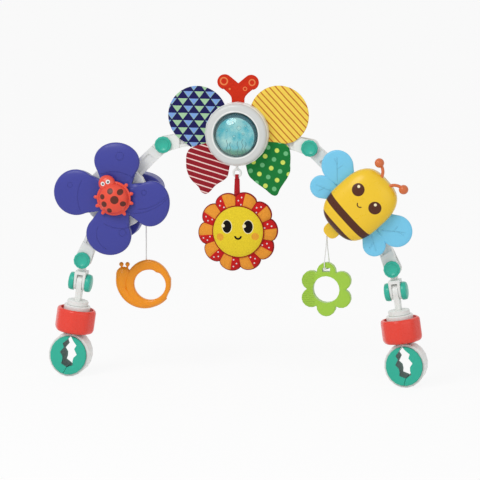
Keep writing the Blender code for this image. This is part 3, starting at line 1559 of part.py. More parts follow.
def teether(frame):
    """Flower-shaped ring with a slot for the cord in its top lobe."""
    half = TEETHER_THICKNESS / 2
    outline = []
    for k in range(TEETHER_LOBES):
        lobe = arc((TEETHER_LOBE_OUT, 0.0), TEETHER_LOBE_RADIUS, -95.0, 95.0, BAR_STEPS)
        outline += turned_outline(lobe[1:], 90.0 + 360.0 * k / TEETHER_LOBES)
    middle = (0.0, -TEETHER_DROP)
    outline = moved_outline(outline, middle)
    made = piece("teether", prism("teether", outline, -half, half), frame,
                 plastic("lime_plastic", LIME))
    soften(made, EDGE_CHAMFER, 1, STEEP_ANGLE)
    deep = half + OVERRUN
    cut(made, prism("hole", circle(middle, TEETHER_HOLE_RADIUS, FINE_STEPS), -deep, deep))
    wide, tall = TEETHER_SLOT_HALF
    slot = middle[1] + TEETHER_SLOT_OUT
    cut(made, block("slot", (-wide, -deep, slot - tall), (wide, deep, slot + tall)))
    smooth(made)


def teether_cord(frame):
    """One loop of cord: down in front, through the slot and up again behind."""
    clear = TEETHER_CORD_RADIUS + CORD_GAP
    out = TEETHER_THICKNESS / 2 + clear
    slot = TEETHER_SLOT_OUT + TEETHER_SLOT_HALF[1] - TEETHER_DROP
    top = TEETHER_LOBE_OUT + TEETHER_LOBE_RADIUS - TEETHER_DROP
    route = [(TEETHER_STRAND_OUT * side, -clear - (out - clear) * depth, top * fall)
             for side, depth, fall in TEETHER_CORD_SHARES]
    route += [
        (TEETHER_STRAND_OUT, -out, slot), (TEETHER_STRAND_OUT, -out, slot - clear),
        (TEETHER_STRAND_OUT, clear - out, slot - clear - TEETHER_CORD_RADIUS),
        (0.0, 0.0, slot - clear - TEETHER_CORD_RADIUS),
    ]
    points = [(-x, y, z) for x, y, z in route]
    points += [(x, -y, z) for x, y, z in route[-2::-1]]
    look = material("grey_cord", CORD_GREY, 0.8)
    cord_tube("teether_cord", smoothed(points, TEETHER_CORD_POINTS), TEETHER_CORD_RADIUS, frame,
              look)


def smoothed(points, count):
    """Places on a smooth curve through a cord's route, evenly spread."""
    route = np.array(points)
    travelled = np.concatenate([[0.0], np.cumsum(np.linalg.norm(np.diff(route, axis=0), axis=1))])
    slopes = np.gradient(route, travelled, axis=0)
    found = []
    for distance in np.linspace(0.0, travelled[-1], count):
        i = min(int(np.searchsorted(travelled, distance, side="right")) - 1, len(route) - 2)
        span = travelled[i + 1] - travelled[i]
        t = (distance - travelled[i]) / span
        first = (1 + 2 * t) * (1 - t) ** 2 * route[i] + t * (1 - t) ** 2 * span * slopes[i]
        last = t * t * (3 - 2 * t) * route[i + 1] + t * t * (t - 1) * span * slopes[i + 1]
        found.append(tuple(first + last))
    return found


def teether_pivot():
    """The top of the cord, under the slanting side of the bee's tail."""
    drop = math.sqrt(BEE_TAIL_RADIUS ** 2 - (TEETHER_SIDE - TEETHER_CORD_RADIUS) ** 2)
    offset = turned_outline([(-TEETHER_SIDE, -drop - TEETHER_CORD_GAP)], -BEE_TURN)[0]
    return (offset[0] - BEE_TAIL_OUT, TEETHER_DEPTH, offset[1])


def build_teether(bee):
    """The teether, hung from the bee's tail on its loop of cord."""
    frame = empty("teether_frame", bee, teether_pivot(), math.radians(BEE_TURN))
    teether_cord(frame)
    teether(frame)


# The whole toy

def build_toy():
    """Make every frame and piece, from the left clamp to the right one."""
    left_foot = empty("left_foot_frame", None, (0.0, 0.0, 0.0), FOOT_LEAN)
    left_tilt = empty("left_tilt_frame", left_foot, (0.0, 0.0, tilt_height()))
    left_arm_frame = empty("left_arm_frame", left_tilt, (0.0, 0.0, LINK_LENGTH),
                           -ARM_RISE - FOOT_LEAN)
    centre = empty("centre_frame", left_arm_frame, (ARM_CHORD, 0.0, 0.0), ARM_RISE)
    right_arm_frame = empty("right_arm_frame", centre, (BEAM_CHORD, 0.0, 0.0), ARM_RISE)
    right_knuckle = empty("right_knuckle_frame", right_arm_frame, (ARM_CHORD, 0.0, 0.0),
                          -ARM_RISE - FOOT_LEAN)
    right_tilt = empty("right_tilt_frame", right_knuckle, (0.0, 0.0, -LINK_LENGTH))
    right_foot = empty("right_foot_frame", right_tilt, (0.0, 0.0, -tilt_height()))

    clamp("left", -1, left_foot)
    stem("left_stem", left_foot)
    tilt_hinge("left", -1, left_tilt)
    knob("left_lower_knob", left_arm_frame)
    left_arm = bar("left_arm", left_arm_frame, ARM_CHORD, ARM_BULGE, (True, False))
    smooth(left_arm)
    flower = empty("flower_frame", left_arm_frame, (FLOWER_ALONG, 0.0, FLOWER_OUT), ARM_RISE)
    build_flower(left_arm, flower)
    knob("left_upper_knob", centre)
    beam = bar("centre_beam", centre, BEAM_CHORD, BEAM_BULGE, (True, True))
    smooth(beam)
    hub = empty("hub_frame", centre, (HUB_ALONG, 0.0, HUB_RISE))
    build_hub(hub)
    build_sun(hub)
    knob("right_upper_knob", right_arm_frame)
    right_arm = bar("right_arm", right_arm_frame, ARM_CHORD, ARM_BULGE, (False, True))
    smooth(right_arm)
    bee = empty("bee_frame", right_arm_frame, (BEE_ALONG, 0.0, BEE_OUT),
                -math.radians(BEE_TURN) - ARM_RISE)
    build_bee(bee)
    build_teether(bee)
    knob("right_lower_knob", right_knuckle)
    clamp("right", 1, right_foot)
    stem("right_stem", right_foot)
    tilt_hinge("right", 1, right_tilt)


def clear_scene():
    for item in list(bpy.data.objects):
        bpy.data.objects.remove(item, do_unlink=True)


clear_scene()
build_toy()
bpy.context.view_layer.update()
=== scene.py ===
"""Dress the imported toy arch: finishes, cords, cloth, soft toys, stage and camera."""
import json
import math

import bmesh
import bpy
import numpy as np
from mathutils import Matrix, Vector


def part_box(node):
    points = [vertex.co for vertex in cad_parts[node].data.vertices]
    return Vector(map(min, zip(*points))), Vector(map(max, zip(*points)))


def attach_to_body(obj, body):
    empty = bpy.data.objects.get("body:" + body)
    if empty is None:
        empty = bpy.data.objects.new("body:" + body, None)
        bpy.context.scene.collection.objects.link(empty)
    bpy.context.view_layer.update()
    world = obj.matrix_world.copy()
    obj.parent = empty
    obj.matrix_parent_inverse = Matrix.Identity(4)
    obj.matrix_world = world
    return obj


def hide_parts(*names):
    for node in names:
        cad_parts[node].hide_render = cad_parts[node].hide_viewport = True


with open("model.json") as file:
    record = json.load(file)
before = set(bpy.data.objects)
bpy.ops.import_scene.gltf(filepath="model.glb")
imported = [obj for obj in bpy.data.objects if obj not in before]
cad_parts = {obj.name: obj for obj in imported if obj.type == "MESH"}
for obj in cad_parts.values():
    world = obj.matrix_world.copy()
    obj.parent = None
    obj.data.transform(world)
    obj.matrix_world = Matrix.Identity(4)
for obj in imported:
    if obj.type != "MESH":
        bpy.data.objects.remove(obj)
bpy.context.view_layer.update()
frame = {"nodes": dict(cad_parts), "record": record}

bl_info = {
    "name": "Toy arch dressing",
    "version": (1, 0, 0),
    "blender": (4, 5, 0),
    "location": "View3D > Sidebar > Toy arch",
    "description": "Builds the finishes, cords and soft toys of a folding toy arch",
    "category": "Object",
}

# Shapes and prints are drawn in millimetres, and times MM they are metres
MM = 0.001


# Sizes and colours that a user would change

def tone(red, green, blue):
    """Linear colour of a screen colour given from 0 to 255."""
    shares = np.array([red, green, blue]) / 255
    low = shares / 12.92
    high = ((shares + 0.055) / 1.055) ** 2.4
    return tuple(float(value) for value in np.where(shares < 0.04045, low, high))


def colour(name, screen, description):
    return bpy.props.FloatVectorProperty(
        name=name, description=description, default=tone(*screen), subtype="COLOR",
        min=0.0, max=1.0,
    )


def size(name, millimetres, description):
    return bpy.props.FloatProperty(
        name=name, description=description, default=millimetres * MM, unit="LENGTH", min=0.0,
        precision=4,
    )


class ToyColours(bpy.types.PropertyGroup):
    white: colour("White", (236, 237, 234), "Arms, stems, forks and clamps")
    # Painted shade on the inner faces of the clamp pads, inside the jaws' gap
    gap_shade: colour("Gap shade", (0, 106, 92), "Inner faces of the clamp pads")
    bezel: colour("Bezel", (212, 214, 212), "Wide rim round the dome")
    teal: colour("Teal", (50, 182, 158), "Hinge knobs and caps")
    pad: colour("Pad", (52, 182, 156), "Rubbery linings of the jaws")
    coral: colour("Coral", (238, 66, 50), "Hand nuts")
    grey: colour("Grey", (150, 152, 154), "Hidden reel and collars")
    steel: colour("Steel", (190, 190, 192), "Reel spring and spindle")
    violet: colour("Violet", (62, 66, 154), "Flower petals and the casing behind them")
    ladybird: colour("Ladybird", (236, 80, 58), "Ladybird's shell")
    spot: colour("Spot", (92, 36, 22), "Ladybird's spots")
    dark: colour("Dark", (20, 12, 12), "Eyes and smiles of the ladybird and the sun")
    gleam: colour("Gleam", (250, 238, 196), "Highlights painted on the eyes")
    snail: colour("Snail", (244, 150, 12), "Snail ring")
    lime: colour("Lime", (163, 207, 68), "Teether")
    honey: colour("Honey", (246, 202, 44), "Bee's body")
    brown: colour("Brown", (80, 32, 2), "Bee's stripes, eyes and smile")
    sky: colour("Sky", (120, 204, 240), "Bee's wings")
    feeler: colour("Feeler", (216, 112, 62), "Bee's feelers")
    glass: colour("Glass", (232, 250, 248), "Clear dome")
    sea: colour("Sea", (70, 198, 218), "Picture under the dome")
    deep: colour("Deep", (20, 104, 124), "Dark part of the picture")
    # Deep also paints the bezel's shadow on the picture, a crescent at its upper right
    weed: colour("Weed", (60, 150, 84), "Green bed in the picture")
    navy: colour("Navy", (32, 30, 88), "Upper left wing's dark triangles")
    mint: colour("Mint", (168, 208, 166), "Upper left wing's pale triangles")
    azure: colour("Azure", (128, 166, 226), "Upper left wing's blue triangles")
    sunny: colour("Sunny", (248, 214, 88), "Upper right wing")
    amber: colour("Amber", (196, 116, 44), "Upper right wing's lines")
    wine: colour("Wine", (150, 30, 42), "Lower left wing")
    blush: colour("Blush", (250, 214, 208), "Lower left wing's lines")
    leaf: colour("Leaf", (28, 124, 58), "Lower right wing")
    pear: colour("Pear", (214, 230, 102), "Lower right wing's first dots")
    pea: colour("Pea", (112, 190, 130), "Lower right wing's second dots")
    felt: colour("Felt", (216, 52, 26), "Hub's felt antennae")
    peach: colour("Peach", (246, 140, 84), "Rings on the antennae")
    orange: colour("Orange", (242, 158, 56), "Sun petals' larger part")
    red: colour("Red", (206, 30, 32), "Sun petals' smaller part")
    piping: colour("Piping", (156, 22, 26), "Piping round the sun")
    face: colour("Face", (240, 212, 48), "Sun's face")
    cheek: colour("Cheek", (240, 170, 56), "Sun's cheeks")
    ribbon: colour("Ribbon", (176, 30, 38), "Ribbon that the sun hangs from")
    cord: colour("Cord", (238, 238, 236), "Pull cord and teether's loop")
    floor: colour("Floor", (250, 250, 250), "Floor and backdrop")


class ToySizes(bpy.types.PropertyGroup):
    camera_distance: size("Camera distance", 6000, "From the camera to the arch")
    view_width: size("View width", 627.8, "Width of the view at the arch")
    thread: size("Thread", 0.55, "Width of one thread of the printed cloth")
    plush: size("Plush", 1.1, "Size of the tufts on the sun")
    petal_swell: size("Petal swell", 2.4, "How far a flower petal rises")


# Flat points, as (across, up)

def round_angles(count):
    return np.linspace(0, 2 * math.pi, count, endpoint=False)


def arc(angle, reach=1.0, rise=None):
    """Points of a circle at some angles, or of an ellipse with its own reach upwards."""
    rise = reach if rise is None else rise
    return np.stack([reach * np.cos(angle), rise * np.sin(angle)], axis=-1)


def spun(points, degrees):
    """Points turned about zero by an angle."""
    turn = math.radians(degrees)
    across = points[..., 0] * math.cos(turn) - points[..., 1] * math.sin(turn)
    up = points[..., 0] * math.sin(turn) + points[..., 1] * math.cos(turn)
    return np.stack([across, up], axis=-1)


def rounded_square(half_width, half_height, power, count):
    """Rounded square: each coordinate is a circle's, raised to two over the power."""
    circle = arc(round_angles(count))
    return np.sign(circle) * np.abs(circle) ** (2 / power) * (half_width, half_height)


def smooth_curve(points, count, closed=True):
    """Points of a cubic through given points: each stretch blends its two ends and their
    slopes, which come from the neighbouring points."""
    knots = np.array(points, dtype=float)
    spans = len(knots) if closed else len(knots) - 1
    place = np.linspace(0, spans, count, endpoint=not closed)
    index = np.minimum(place.astype(int), spans - 1)
    t = (place - index)[:, None]
    if closed:
        slopes = (np.roll(knots, -1, axis=0) - np.roll(knots, 1, axis=0)) / 2
    else:
        slopes = np.gradient(knots, axis=0)
    after = (index + 1) % len(knots)
    return (
        (1 + 2 * t) * (1 - t) ** 2 * knots[index] + t * (1 - t) ** 2 * slopes[index]
        + t * t * (3 - 2 * t) * knots[after] + t * t * (t - 1) * slopes[after]
    )


def upright(flat, depth):
    """Flat points set up in planes that face front, each at its own depth."""
    depth = np.broadcast_to(depth, flat.shape[:-1])
    return np.stack([flat[..., 0], depth, flat[..., 1]], axis=-1)


# Meshes from whole arrays of points

def signed_volume(points, corners):
    """Volume of the triangles fanned from each face's first corner, positive when they face out."""
    first, *rest = (points[corners[:, index]] for index in range(corners.shape[1]))
    return sum(float((first * np.cross(near, far)).sum()) for near, far in zip(rest, rest[1:]))


def ring_surface(name, rings, looped=False):
    """Skin over closed rings of points, in rows: each point joins its neighbours in its own ring
    and in the next ring. A looped skin joins its last ring to its first; otherwise a point at
    the middle of each end ring closes it."""
    rows, columns = rings.shape[:2]
    points = rings.reshape(-1, 3) * MM
    row_count = rows if looped else rows - 1
    row, column = np.meshgrid(np.arange(row_count), np.arange(columns), indexing="ij")
    corners = ((0, 0), (0, 1), (1, 1), (1, 0))
    quads = np.stack([(row + down) % rows * columns + (column + right) % columns
                      for down, right in corners], axis=-1).reshape(-1, 4)
    places = np.array([((column + right) / columns, (row + down) / row_count)
                       for down, right in corners]).transpose(2, 3, 0, 1).reshape(-1, 2)
    faces = quads.tolist()
    if not looped:
        points = np.vstack([points, points[:columns].mean(axis=0), points[-columns:].mean(axis=0)])
        step = np.arange(columns)
        for end, (first, second) in enumerate(((1, 0), (0, 1))):
            start = end * (rows - 1) * columns
            middle = np.full(columns, rows * columns + end)
            faces += np.stack([start + (step + first) % columns,
                               start + (step + second) % columns, middle], axis=-1).tolist()
            across = np.stack([step + first, step + second, step + 0.5], axis=-1) / columns
            cap = np.stack([across, np.full(across.shape, end)], axis=-1)
            places = np.vstack([places, cap.reshape(-1, 2)])
    mesh = bpy.data.meshes.new(name)
    mesh.from_pydata(points.tolist(), [], faces)
    mesh.uv_layers.new(name="surface").data.foreach_set("uv", places.ravel())
    if signed_volume(points, quads) < 0:
        mesh.flip_normals()
    return finished_object(name, mesh)


def finished_object(name, mesh):
    mesh.polygons.foreach_set("use_smooth", np.ones(len(mesh.polygons), dtype=bool))
    mesh.update()
    thing = bpy.data.objects.new(name, mesh)
    bpy.context.scene.collection.objects.link(thing)
    return thing


def settle(thing, finish, body, nodes=()):
    """Give a piece its finish and its body, and hide the CAD nodes that it stands for."""
    thing.data.materials.clear()
    thing.data.materials.append(finish)
    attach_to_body(thing, body)
    if nodes:
        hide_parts(*nodes)
    return thing


def pillow(name, outline, middle, shares, depths, relief=None):
    """Closed skin over a flat outline: each ring is the outline drawn in towards the middle by a
    share and set at a depth, from the front's middle over the rim to the back's middle. Relief
    moves a point forward by a function of its place and share."""
    shares = np.asarray(shares)[:, None]
    flat = middle + shares[..., None] * (outline - middle)
    depth = np.asarray(depths)[:, None]
    if relief is not None:
        depth = depth - relief(flat[..., 0], flat[..., 1], shares)
    return ring_surface(name, upright(flat, depth))


def headings(path):
    """Direction of a path at each of its points."""
    slope = np.gradient(path, axis=0)
    return slope / np.linalg.norm(slope, axis=1)[:, None]


def tube_rings(path, heading, radii, sides, flatness=1.0, reference=(0.0, 1.0, 0.0)):
    """Circles carried along a path: each spans the direction square to the heading and to a
    reference, and the one square to both, times its own radius."""
    side = np.cross(heading, reference)
    side /= np.linalg.norm(side, axis=1)[:, None]
    normal = np.cross(side, heading)
    angle = round_angles(sides)[None, :, None]
    around = np.cos(angle) * side[:, None, :] + np.sin(angle) * flatness * normal[:, None, :]
    return path[:, None, :] + radii[:, None, None] * around


def bent_tube(name, path, radii, sides=16, flatness=1.0):
    """Tube with rounded ends, along a path that lies in a plane facing front."""
    path = np.asarray(path, dtype=float)
    radii = np.broadcast_to(np.asarray(radii, dtype=float), (len(path),))
    heading = headings(path)
    turn = np.linspace(math.pi / 2, math.radians(12), 5)[1:]
    first = path[0] - np.outer(np.sin(turn) * radii[0], heading[0])
    last = path[-1] + np.outer(np.sin(turn[::-1]) * radii[-1], heading[-1])
    width = np.concatenate([np.cos(turn) * radii[0], radii, np.cos(turn[::-1]) * radii[-1]])
    ends = [np.repeat(heading[index:index + 1], len(turn), axis=0) for index in (0, len(path) - 1)]
    rings = tube_rings(np.vstack([first, path, last]), np.vstack([ends[0], heading, ends[1]]),
                       width, sides, flatness)
    return ring_surface(name, rings)


def turned(name, profile, middle, steps=72):
    """Surface of revolution about the depth axis: each profile point gives a radius and a depth,
    and its circle stands round the middle."""
    profile = np.asarray(profile, dtype=float)
    flat = middle + profile[:, :1, None] * arc(round_angles(steps))
    return ring_surface(name, upright(flat, profile[:, 1:]))


def hoop(name, section, middle, steps):
    """Section carried round a circle that faces front: its points give a radius and a depth."""
    flat = middle + section[None, :, :1] * arc(round_angles(steps))[:, None, :]
    return ring_surface(name, upright(flat, section[:, 1]), looped=True)


def ellipsoid(name, middle, radii, lean=0.0, rows=18, columns=28):
    """Ball stretched along its own sideways, depth and upward axes, and leaning by degrees."""
    rise = np.linspace(0.03, math.pi - 0.03, rows)[:, None]
    flat = np.sin(rise)[..., None] * arc(round_angles(columns), radii[0], radii[2])
    flat = spun(flat, lean) + (middle[0], middle[2])
    return ring_surface(name, upright(flat, middle[1] - np.cos(rise) * radii[1]))


# Fields: values that vary over a surface, with arithmetic that adds nodes to their tree

class Field:
    """Output socket of a node, in its node tree"""

    def __init__(self, tree, socket):
        self.tree = tree
        self.socket = socket

    def math(self, operation, *others):
        """Field of a math node that takes this field first."""
        node = self.tree.nodes.new("ShaderNodeMath")
        node.operation = operation
        for value, socket in zip((self,) + others, node.inputs):
            attach(value, socket)
        return Field(self.tree, node.outputs[0])

    def __add__(self, other):
        return self.math("ADD", other)

    def __sub__(self, other):
        return self.math("SUBTRACT", other)

    def __rsub__(self, other):
        return self.math("MULTIPLY", -1.0).math("ADD", other)

    def __mul__(self, other):
        return self.math("MULTIPLY", other)

    def __truediv__(self, other):
        return self.math("DIVIDE", other)

    def __abs__(self):
        return self.math("ABSOLUTE")

    def clamped(self):
        """The field kept from nought to one."""
        node = self.tree.nodes.new("ShaderNodeClamp")
        attach(self, node.inputs["Value"])
        return Field(self.tree, node.outputs[0])


def attach(value, socket):
    """Link a field to a node's input, or set the input to a plain number or colour."""
    if isinstance(value, Field):
        value.tree.links.new(value.socket, socket)
    elif socket.type == "RGBA":
        socket.default_value = (value[0], value[1], value[2], 1.0)
    else:
        socket.default_value = value


def mixed(share, first, second):
    """Colour between two colours."""
    node = share.tree.nodes.new("ShaderNodeMix")
    node.data_type = "RGBA"
    attach(share, node.inputs["Factor"])
    attach(first, node.inputs[6])
    attach(second, node.inputs[7])
    return Field(share.tree, node.outputs[2])


def scaled(rgb, gain):
    """Colour field times a number."""
    node = rgb.tree.nodes.new("ShaderNodeVectorMath")
    node.operation = "SCALE"
    attach(rgb, node.inputs[0])
    attach(gain, node.inputs["Scale"])
    return Field(rgb.tree, node.outputs[0])


def noise(place, scale, detail=2.0, roughness=0.5):
    node = place.tree.nodes.new("ShaderNodeTexNoise")
    for label, value in (("Vector", place), ("Scale", scale), ("Detail", detail),
                         ("Roughness", roughness)):
        attach(value, node.inputs[label])
    return Field(place.tree, node.outputs["Fac"])


def object_place(tree):
    return Field(tree, tree.nodes.new("ShaderNodeTexCoord").outputs["Object"])


def split(vector):
    """The three parts of a vector."""
    node = vector.tree.nodes.new("ShaderNodeSeparateXYZ")
    attach(vector, node.inputs[0])
    return [Field(vector.tree, part) for part in node.outputs]


def flat_place(tree, middle=(0.0, 0.0), lean=0.0):
    """Millimetres across and up from a middle, along axes that lean by degrees."""
    x, _, z = split(object_place(tree))
    x = x / MM - middle[0]
    z = z / MM - middle[1]
    if lean == 0.0:
        return x, z
    share, other = math.cos(math.radians(lean)), math.sin(math.radians(lean))
    return x * share + z * other, z * share - x * other


def distance(x, z):
    return (x * x + z * z).math("SQRT")


def within(value, limit, softness):
    """Mask that is one where a value is under a limit, with a soft edge."""
    return ((limit - value) / softness + 0.5).clamped()


# Shared node groups: each puts out colours, values and heights that vary over the surface

def new_group(name, inputs, outputs):
    """Empty shader node group: the fields of its inputs, and the sockets of its output."""
    group = bpy.data.node_groups.new(name, "ShaderNodeTree")
    kinds = {label: "NodeSocketColor" if label == "Colour" else "NodeSocketFloat"
             for label in (*inputs, *outputs)}
    for label, start in inputs.items():
        socket = group.interface.new_socket(label, in_out="INPUT", socket_type=kinds[label])
        if start is not None:
            socket.default_value = start
    for label in outputs:
        group.interface.new_socket(label, in_out="OUTPUT", socket_type=kinds[label])
    source = group.nodes.new("NodeGroupInput")
    sink = group.nodes.new("NodeGroupOutput")
    return [Field(group, source.outputs[label]) for label in inputs], sink.inputs


def moulded_group():
    """Moulded plastic: faint cloudy colour, pebbled gloss and shallow flow marks."""
    (rgb, roughness, cloudiness), sink = new_group(
        "moulded_plastic", {"Colour": None, "Roughness": 0.35, "Cloud": 0.03},
        ("Colour", "Roughness", "Height"),
    )
    place = object_place(rgb.tree)
    cloud = noise(place, 45.0, 3.0)
    fine = noise(place, 900.0)
    scuff = noise(place, 160.0, 5.0, 0.65)
    attach(scaled(rgb, (cloud - 0.5) * cloudiness + 1.0), sink["Colour"])
    attach(roughness + (scuff - 0.5) * 0.22, sink["Roughness"])
    attach(fine + cloud * 0.6, sink["Height"])
    return rgb.tree


def woven_group():
    """Plain weave in an upright plane: warp and weft threads pass over each other in turn."""
    (rgb, pitch), sink = new_group(
        "woven_cloth", {"Colour": None, "Thread": 0.55 * MM}, ("Colour", "Height"))
    place = object_place(rgb.tree)
    across, _, up = split(place)
    warp, weft = ((line / pitch * math.pi).math("SINE") for line in (across, up))
    height = warp * weft * 0.5 + 0.5
    blotch = noise(place, 130.0, 4.0, 0.6)
    # Painted shade: the colour darkens where the weave is low, between the threads; the blotches
    # vary its tone at random
    attach(scaled(rgb, height * 0.12 + blotch * 0.16 + 0.86), sink["Colour"])
    attach(height, sink["Height"])
    return rgb.tree


def plush_group():
    """Short plush or felt: matted tufts of two sizes, with painted shade that darkens the hollows
    between them.
    """
    (rgb, tuft), sink = new_group(
        "plush", {"Colour": None, "Tuft": 1.1 * MM}, ("Colour", "Height"))
    place = object_place(rgb.tree)
    tufts = rgb.tree.nodes.new("ShaderNodeTexVoronoi")
    tufts.feature = "SMOOTH_F1"
    attach(place, tufts.inputs["Vector"])
    attach(tuft.math("POWER", -1.0), tufts.inputs["Scale"])
    matting = noise(place, 260.0, 4.0, 0.6)
    height = (1.0 - Field(rgb.tree, tufts.outputs["Distance"])) + matting * 0.8
    # Painted shade: the colour darkens where the tufts are low
    attach(scaled(rgb, height * 0.22 + 0.72), sink["Colour"])
    attach(height, sink["Height"])
    return rgb.tree


GROUPS = {"moulded_plastic": moulded_group, "woven_cloth": woven_group, "plush": plush_group}


def placed_group(tree, name, **values):
    """Shared group, built the first time, placed in a tree with its own values: its outputs."""
    node = tree.nodes.new("ShaderNodeGroup")
    node.node_tree = bpy.data.node_groups.get(name) or GROUPS[name]()
    for label, value in values.items():
        attach(value, node.inputs[label])
    return [Field(tree, output) for output in node.outputs]


# Finishes: a colour given to one is the same all over, or a pattern that draws it in a tree

def new_finish(name, numbers):
    """Material with a Principled surface: its tree and the surface's inputs, with the numbers
    that are the same all over set."""
    finish = bpy.data.materials.new(name)
    finish.use_nodes = True
    surface = finish.node_tree.nodes["Principled BSDF"].inputs
    for label, value in numbers.items():
        attach(value, surface[label])
    return finish, finish.node_tree, surface


def drawn(tree, rgb):
    return rgb(tree) if callable(rgb) else rgb


def raised(height, surface, depth):
    """Bump that feeds the surface's normal."""
    bump = height.tree.nodes.new("ShaderNodeBump")
    bump.inputs["Distance"].default_value = depth
    bump.inputs["Strength"].default_value = 1.0
    attach(height, bump.inputs["Height"])
    attach(Field(height.tree, bump.outputs[0]), surface["Normal"])


def plastic(name, rgb, roughness=0.36, coat=0.0, soft=0.0, marks=()):
    """Moulded plastic; soft adds a rubbery sheen, and marks are raised by half a millimetre."""
    if name in bpy.data.materials:
        return bpy.data.materials[name]
    finish, tree, surface = new_finish(name, {
        "Specular IOR Level": 0.3, "Coat Weight": coat, "Coat Roughness": 0.12,
        "Sheen Weight": soft, "Sheen Roughness": 0.4,
    })
    shade, gloss, height = placed_group(tree, "moulded_plastic", Colour=drawn(tree, rgb),
                                        Roughness=roughness)
    attach(shade, surface["Base Color"])
    attach(gloss, surface["Roughness"])
    height = height * 0.02
    x, z = flat_place(tree)
    for mark in marks:
        height = mark(x, z) * 0.5 + height
    raised(height, surface, 1.0 * MM)
    return finish


def metal(name, rgb):
    """Rolled spring steel."""
    finish, tree, surface = new_finish(name, {"Metallic": 1.0})
    shade, gloss, _ = placed_group(tree, "moulded_plastic", Colour=rgb, Roughness=0.3)
    attach(shade, surface["Base Color"])
    attach(gloss, surface["Roughness"])
    return finish


def clear_plastic(name, rgb):
    """Clear moulded dome with faint flow marks."""
    finish, tree, surface = new_finish(name, {
        "Base Color": rgb, "Transmission Weight": 1.0, "IOR": 1.46})
    attach(noise(object_place(tree), 60.0) * 0.02 + 0.05, surface["Roughness"])
    return finish


def cloth(name, rgb, thread):
    """Printed plain-woven cotton."""
    finish, tree, surface = new_finish(name, {
        "Roughness": 0.86, "Specular IOR Level": 0.15, "Sheen Weight": 0.05})
    shade, height = placed_group(tree, "woven_cloth", Colour=drawn(tree, rgb), Thread=thread)
    attach(shade, surface["Base Color"])
    raised(height, surface, 0.12 * MM)
    return finish


def furry(name, rgb, tuft):
    """Short plush or felt."""
    finish, tree, surface = new_finish(name, {
        "Roughness": 0.95, "Specular IOR Level": 0.1, "Sheen Weight": 0.06,
        "Sheen Roughness": 0.6})
    shade, height = placed_group(tree, "plush", Colour=drawn(tree, rgb), Tuft=tuft)
    attach(shade, surface["Base Color"])
    raised(height, surface, 0.3 * MM)
    return finish


def braided(name, rgb):
    """Round braid: two families of strands that cross on the cord's own surface."""
    finish, tree, surface = new_finish(name, {"Roughness": 0.8, "Sheen Weight": 0.2})
    skin = tree.nodes.new("ShaderNodeUVMap")
    skin.uv_map = "surface"
    place = split(Field(tree, skin.outputs[0]))
    around = place[0] * (4 * 2 * math.pi)
    along = place[1] * (90 * 2 * math.pi)
    height = (along + around).math("SINE").math("MAXIMUM", (along - around).math("SINE"))
    # Painted shade: the colour darkens in the grooves between the strands
    attach(mixed((height * 0.3 + 0.6).clamped(), [0.8 * value for value in rgb], rgb),
           surface["Base Color"])
    raised(height, surface, 0.01 * MM)
    return finish


# Marks: each fills a shape, from the millimetres across and up

def disc(across, up, half_width, half_height=None):
    """Mark that fills an ellipse: the root of the sum of squares of its shares is under one."""
    def mark(x, z):
        side = (x - across) / half_width
        rise = (z - up) / (half_height or half_width)
        return within(distance(side, rise), 1.0, 0.2 / half_width)
    return mark


def ring_mark(across, up, radius, width):
    """Mark that fills a thin ring."""
    def mark(x, z):
        return within(abs(distance(x - across, z - up) - radius), width / 2, 0.25)
    return mark


def smile(across, up, radius, width, towards=-90.0, share=0.3):
    """Mark that fills the part of a thin ring that lies towards an angle."""
    turn = math.radians(towards)
    ring = ring_mark(across, up, radius, width)

    def mark(x, z):
        away = (x - across) * -math.cos(turn) + (z - up) * -math.sin(turn)
        return ring(x, z) * within(away, -share * radius, 0.3)
    return mark


def band(low, high):
    """Mark that fills an upright band between two places across."""
    def mark(x, z):
        return within(abs(x - (low + high) / 2), (high - low) / 2, 0.3)
    return mark


def stroke(start, end, half_width):
    """Mark along a straight line: it is near the line, and not past its ends."""
    length = math.dist(start, end)
    run, climb = (np.asarray(end) - start) / length

    def mark(x, z):
        side = x - start[0]
        rise = z - start[1]
        on_line = within(abs(side * -climb + rise * run), half_width, 0.5)
        return on_line * within(abs(side * run + rise * climb - length / 2), length / 2, 1.0)
    return mark


def ribs(x, z):
    """Mark that fills level ribs on the teether's left lobes."""
    rib = within(z.math("PINGPONG", 1.3), 0.65, 0.4)
    return rib * within(x, TEETHER[0] - 15.0, 2.0)


# Patterns: each draws a colour in a material's tree

def painted(ground, layers, middle=(0.0, 0.0), lean=0.0):
    """Marks laid over a ground in order, in a flat frame with its own middle and lean."""
    def pattern(tree):
        across, up = flat_place(tree, middle, lean)
        shade = ground
        for rgb, mark in layers:
            shade = mixed(mark(across, up), shade, rgb)
        return shade
    return pattern


def stripes(ground, line, lean, spacing, width):
    """Thin even lines that lean down to the right by an angle."""
    def pattern(tree):
        _, up = flat_place(tree, lean=-lean)
        return mixed(within(up.math("PINGPONG", spacing / 2), width / 2, 0.3), ground, line)
    return pattern


def triangles(row, width):
    """Rows of upright dark triangles, with pale and blue ones by turns pointing down between
    them. A place is in an upright one where its share across, from the middle of the cell, is
    less than what is left of the row's height."""
    def pattern(tree):
        c = tones()
        x, z = flat_place(tree)
        level = z / row
        odd = level.math("FLOOR").math("MODULO", 2.0)
        along = odd * 0.5 + x / width
        side = abs(along.math("FRACT") - 0.5)
        edge = (1.0 - level.math("FRACT")) - side * 2.0 + 0.16
        turns = abs((along + 0.5).math("FLOOR"))
        between = mixed((turns + odd).math("MODULO", 2.0), c.mint, c.azure)
        filled = mixed((edge * 18.0).clamped(), between, c.navy)
        return mixed(within(abs(edge), 0.035, 0.05), filled, c.mint)
    return pattern


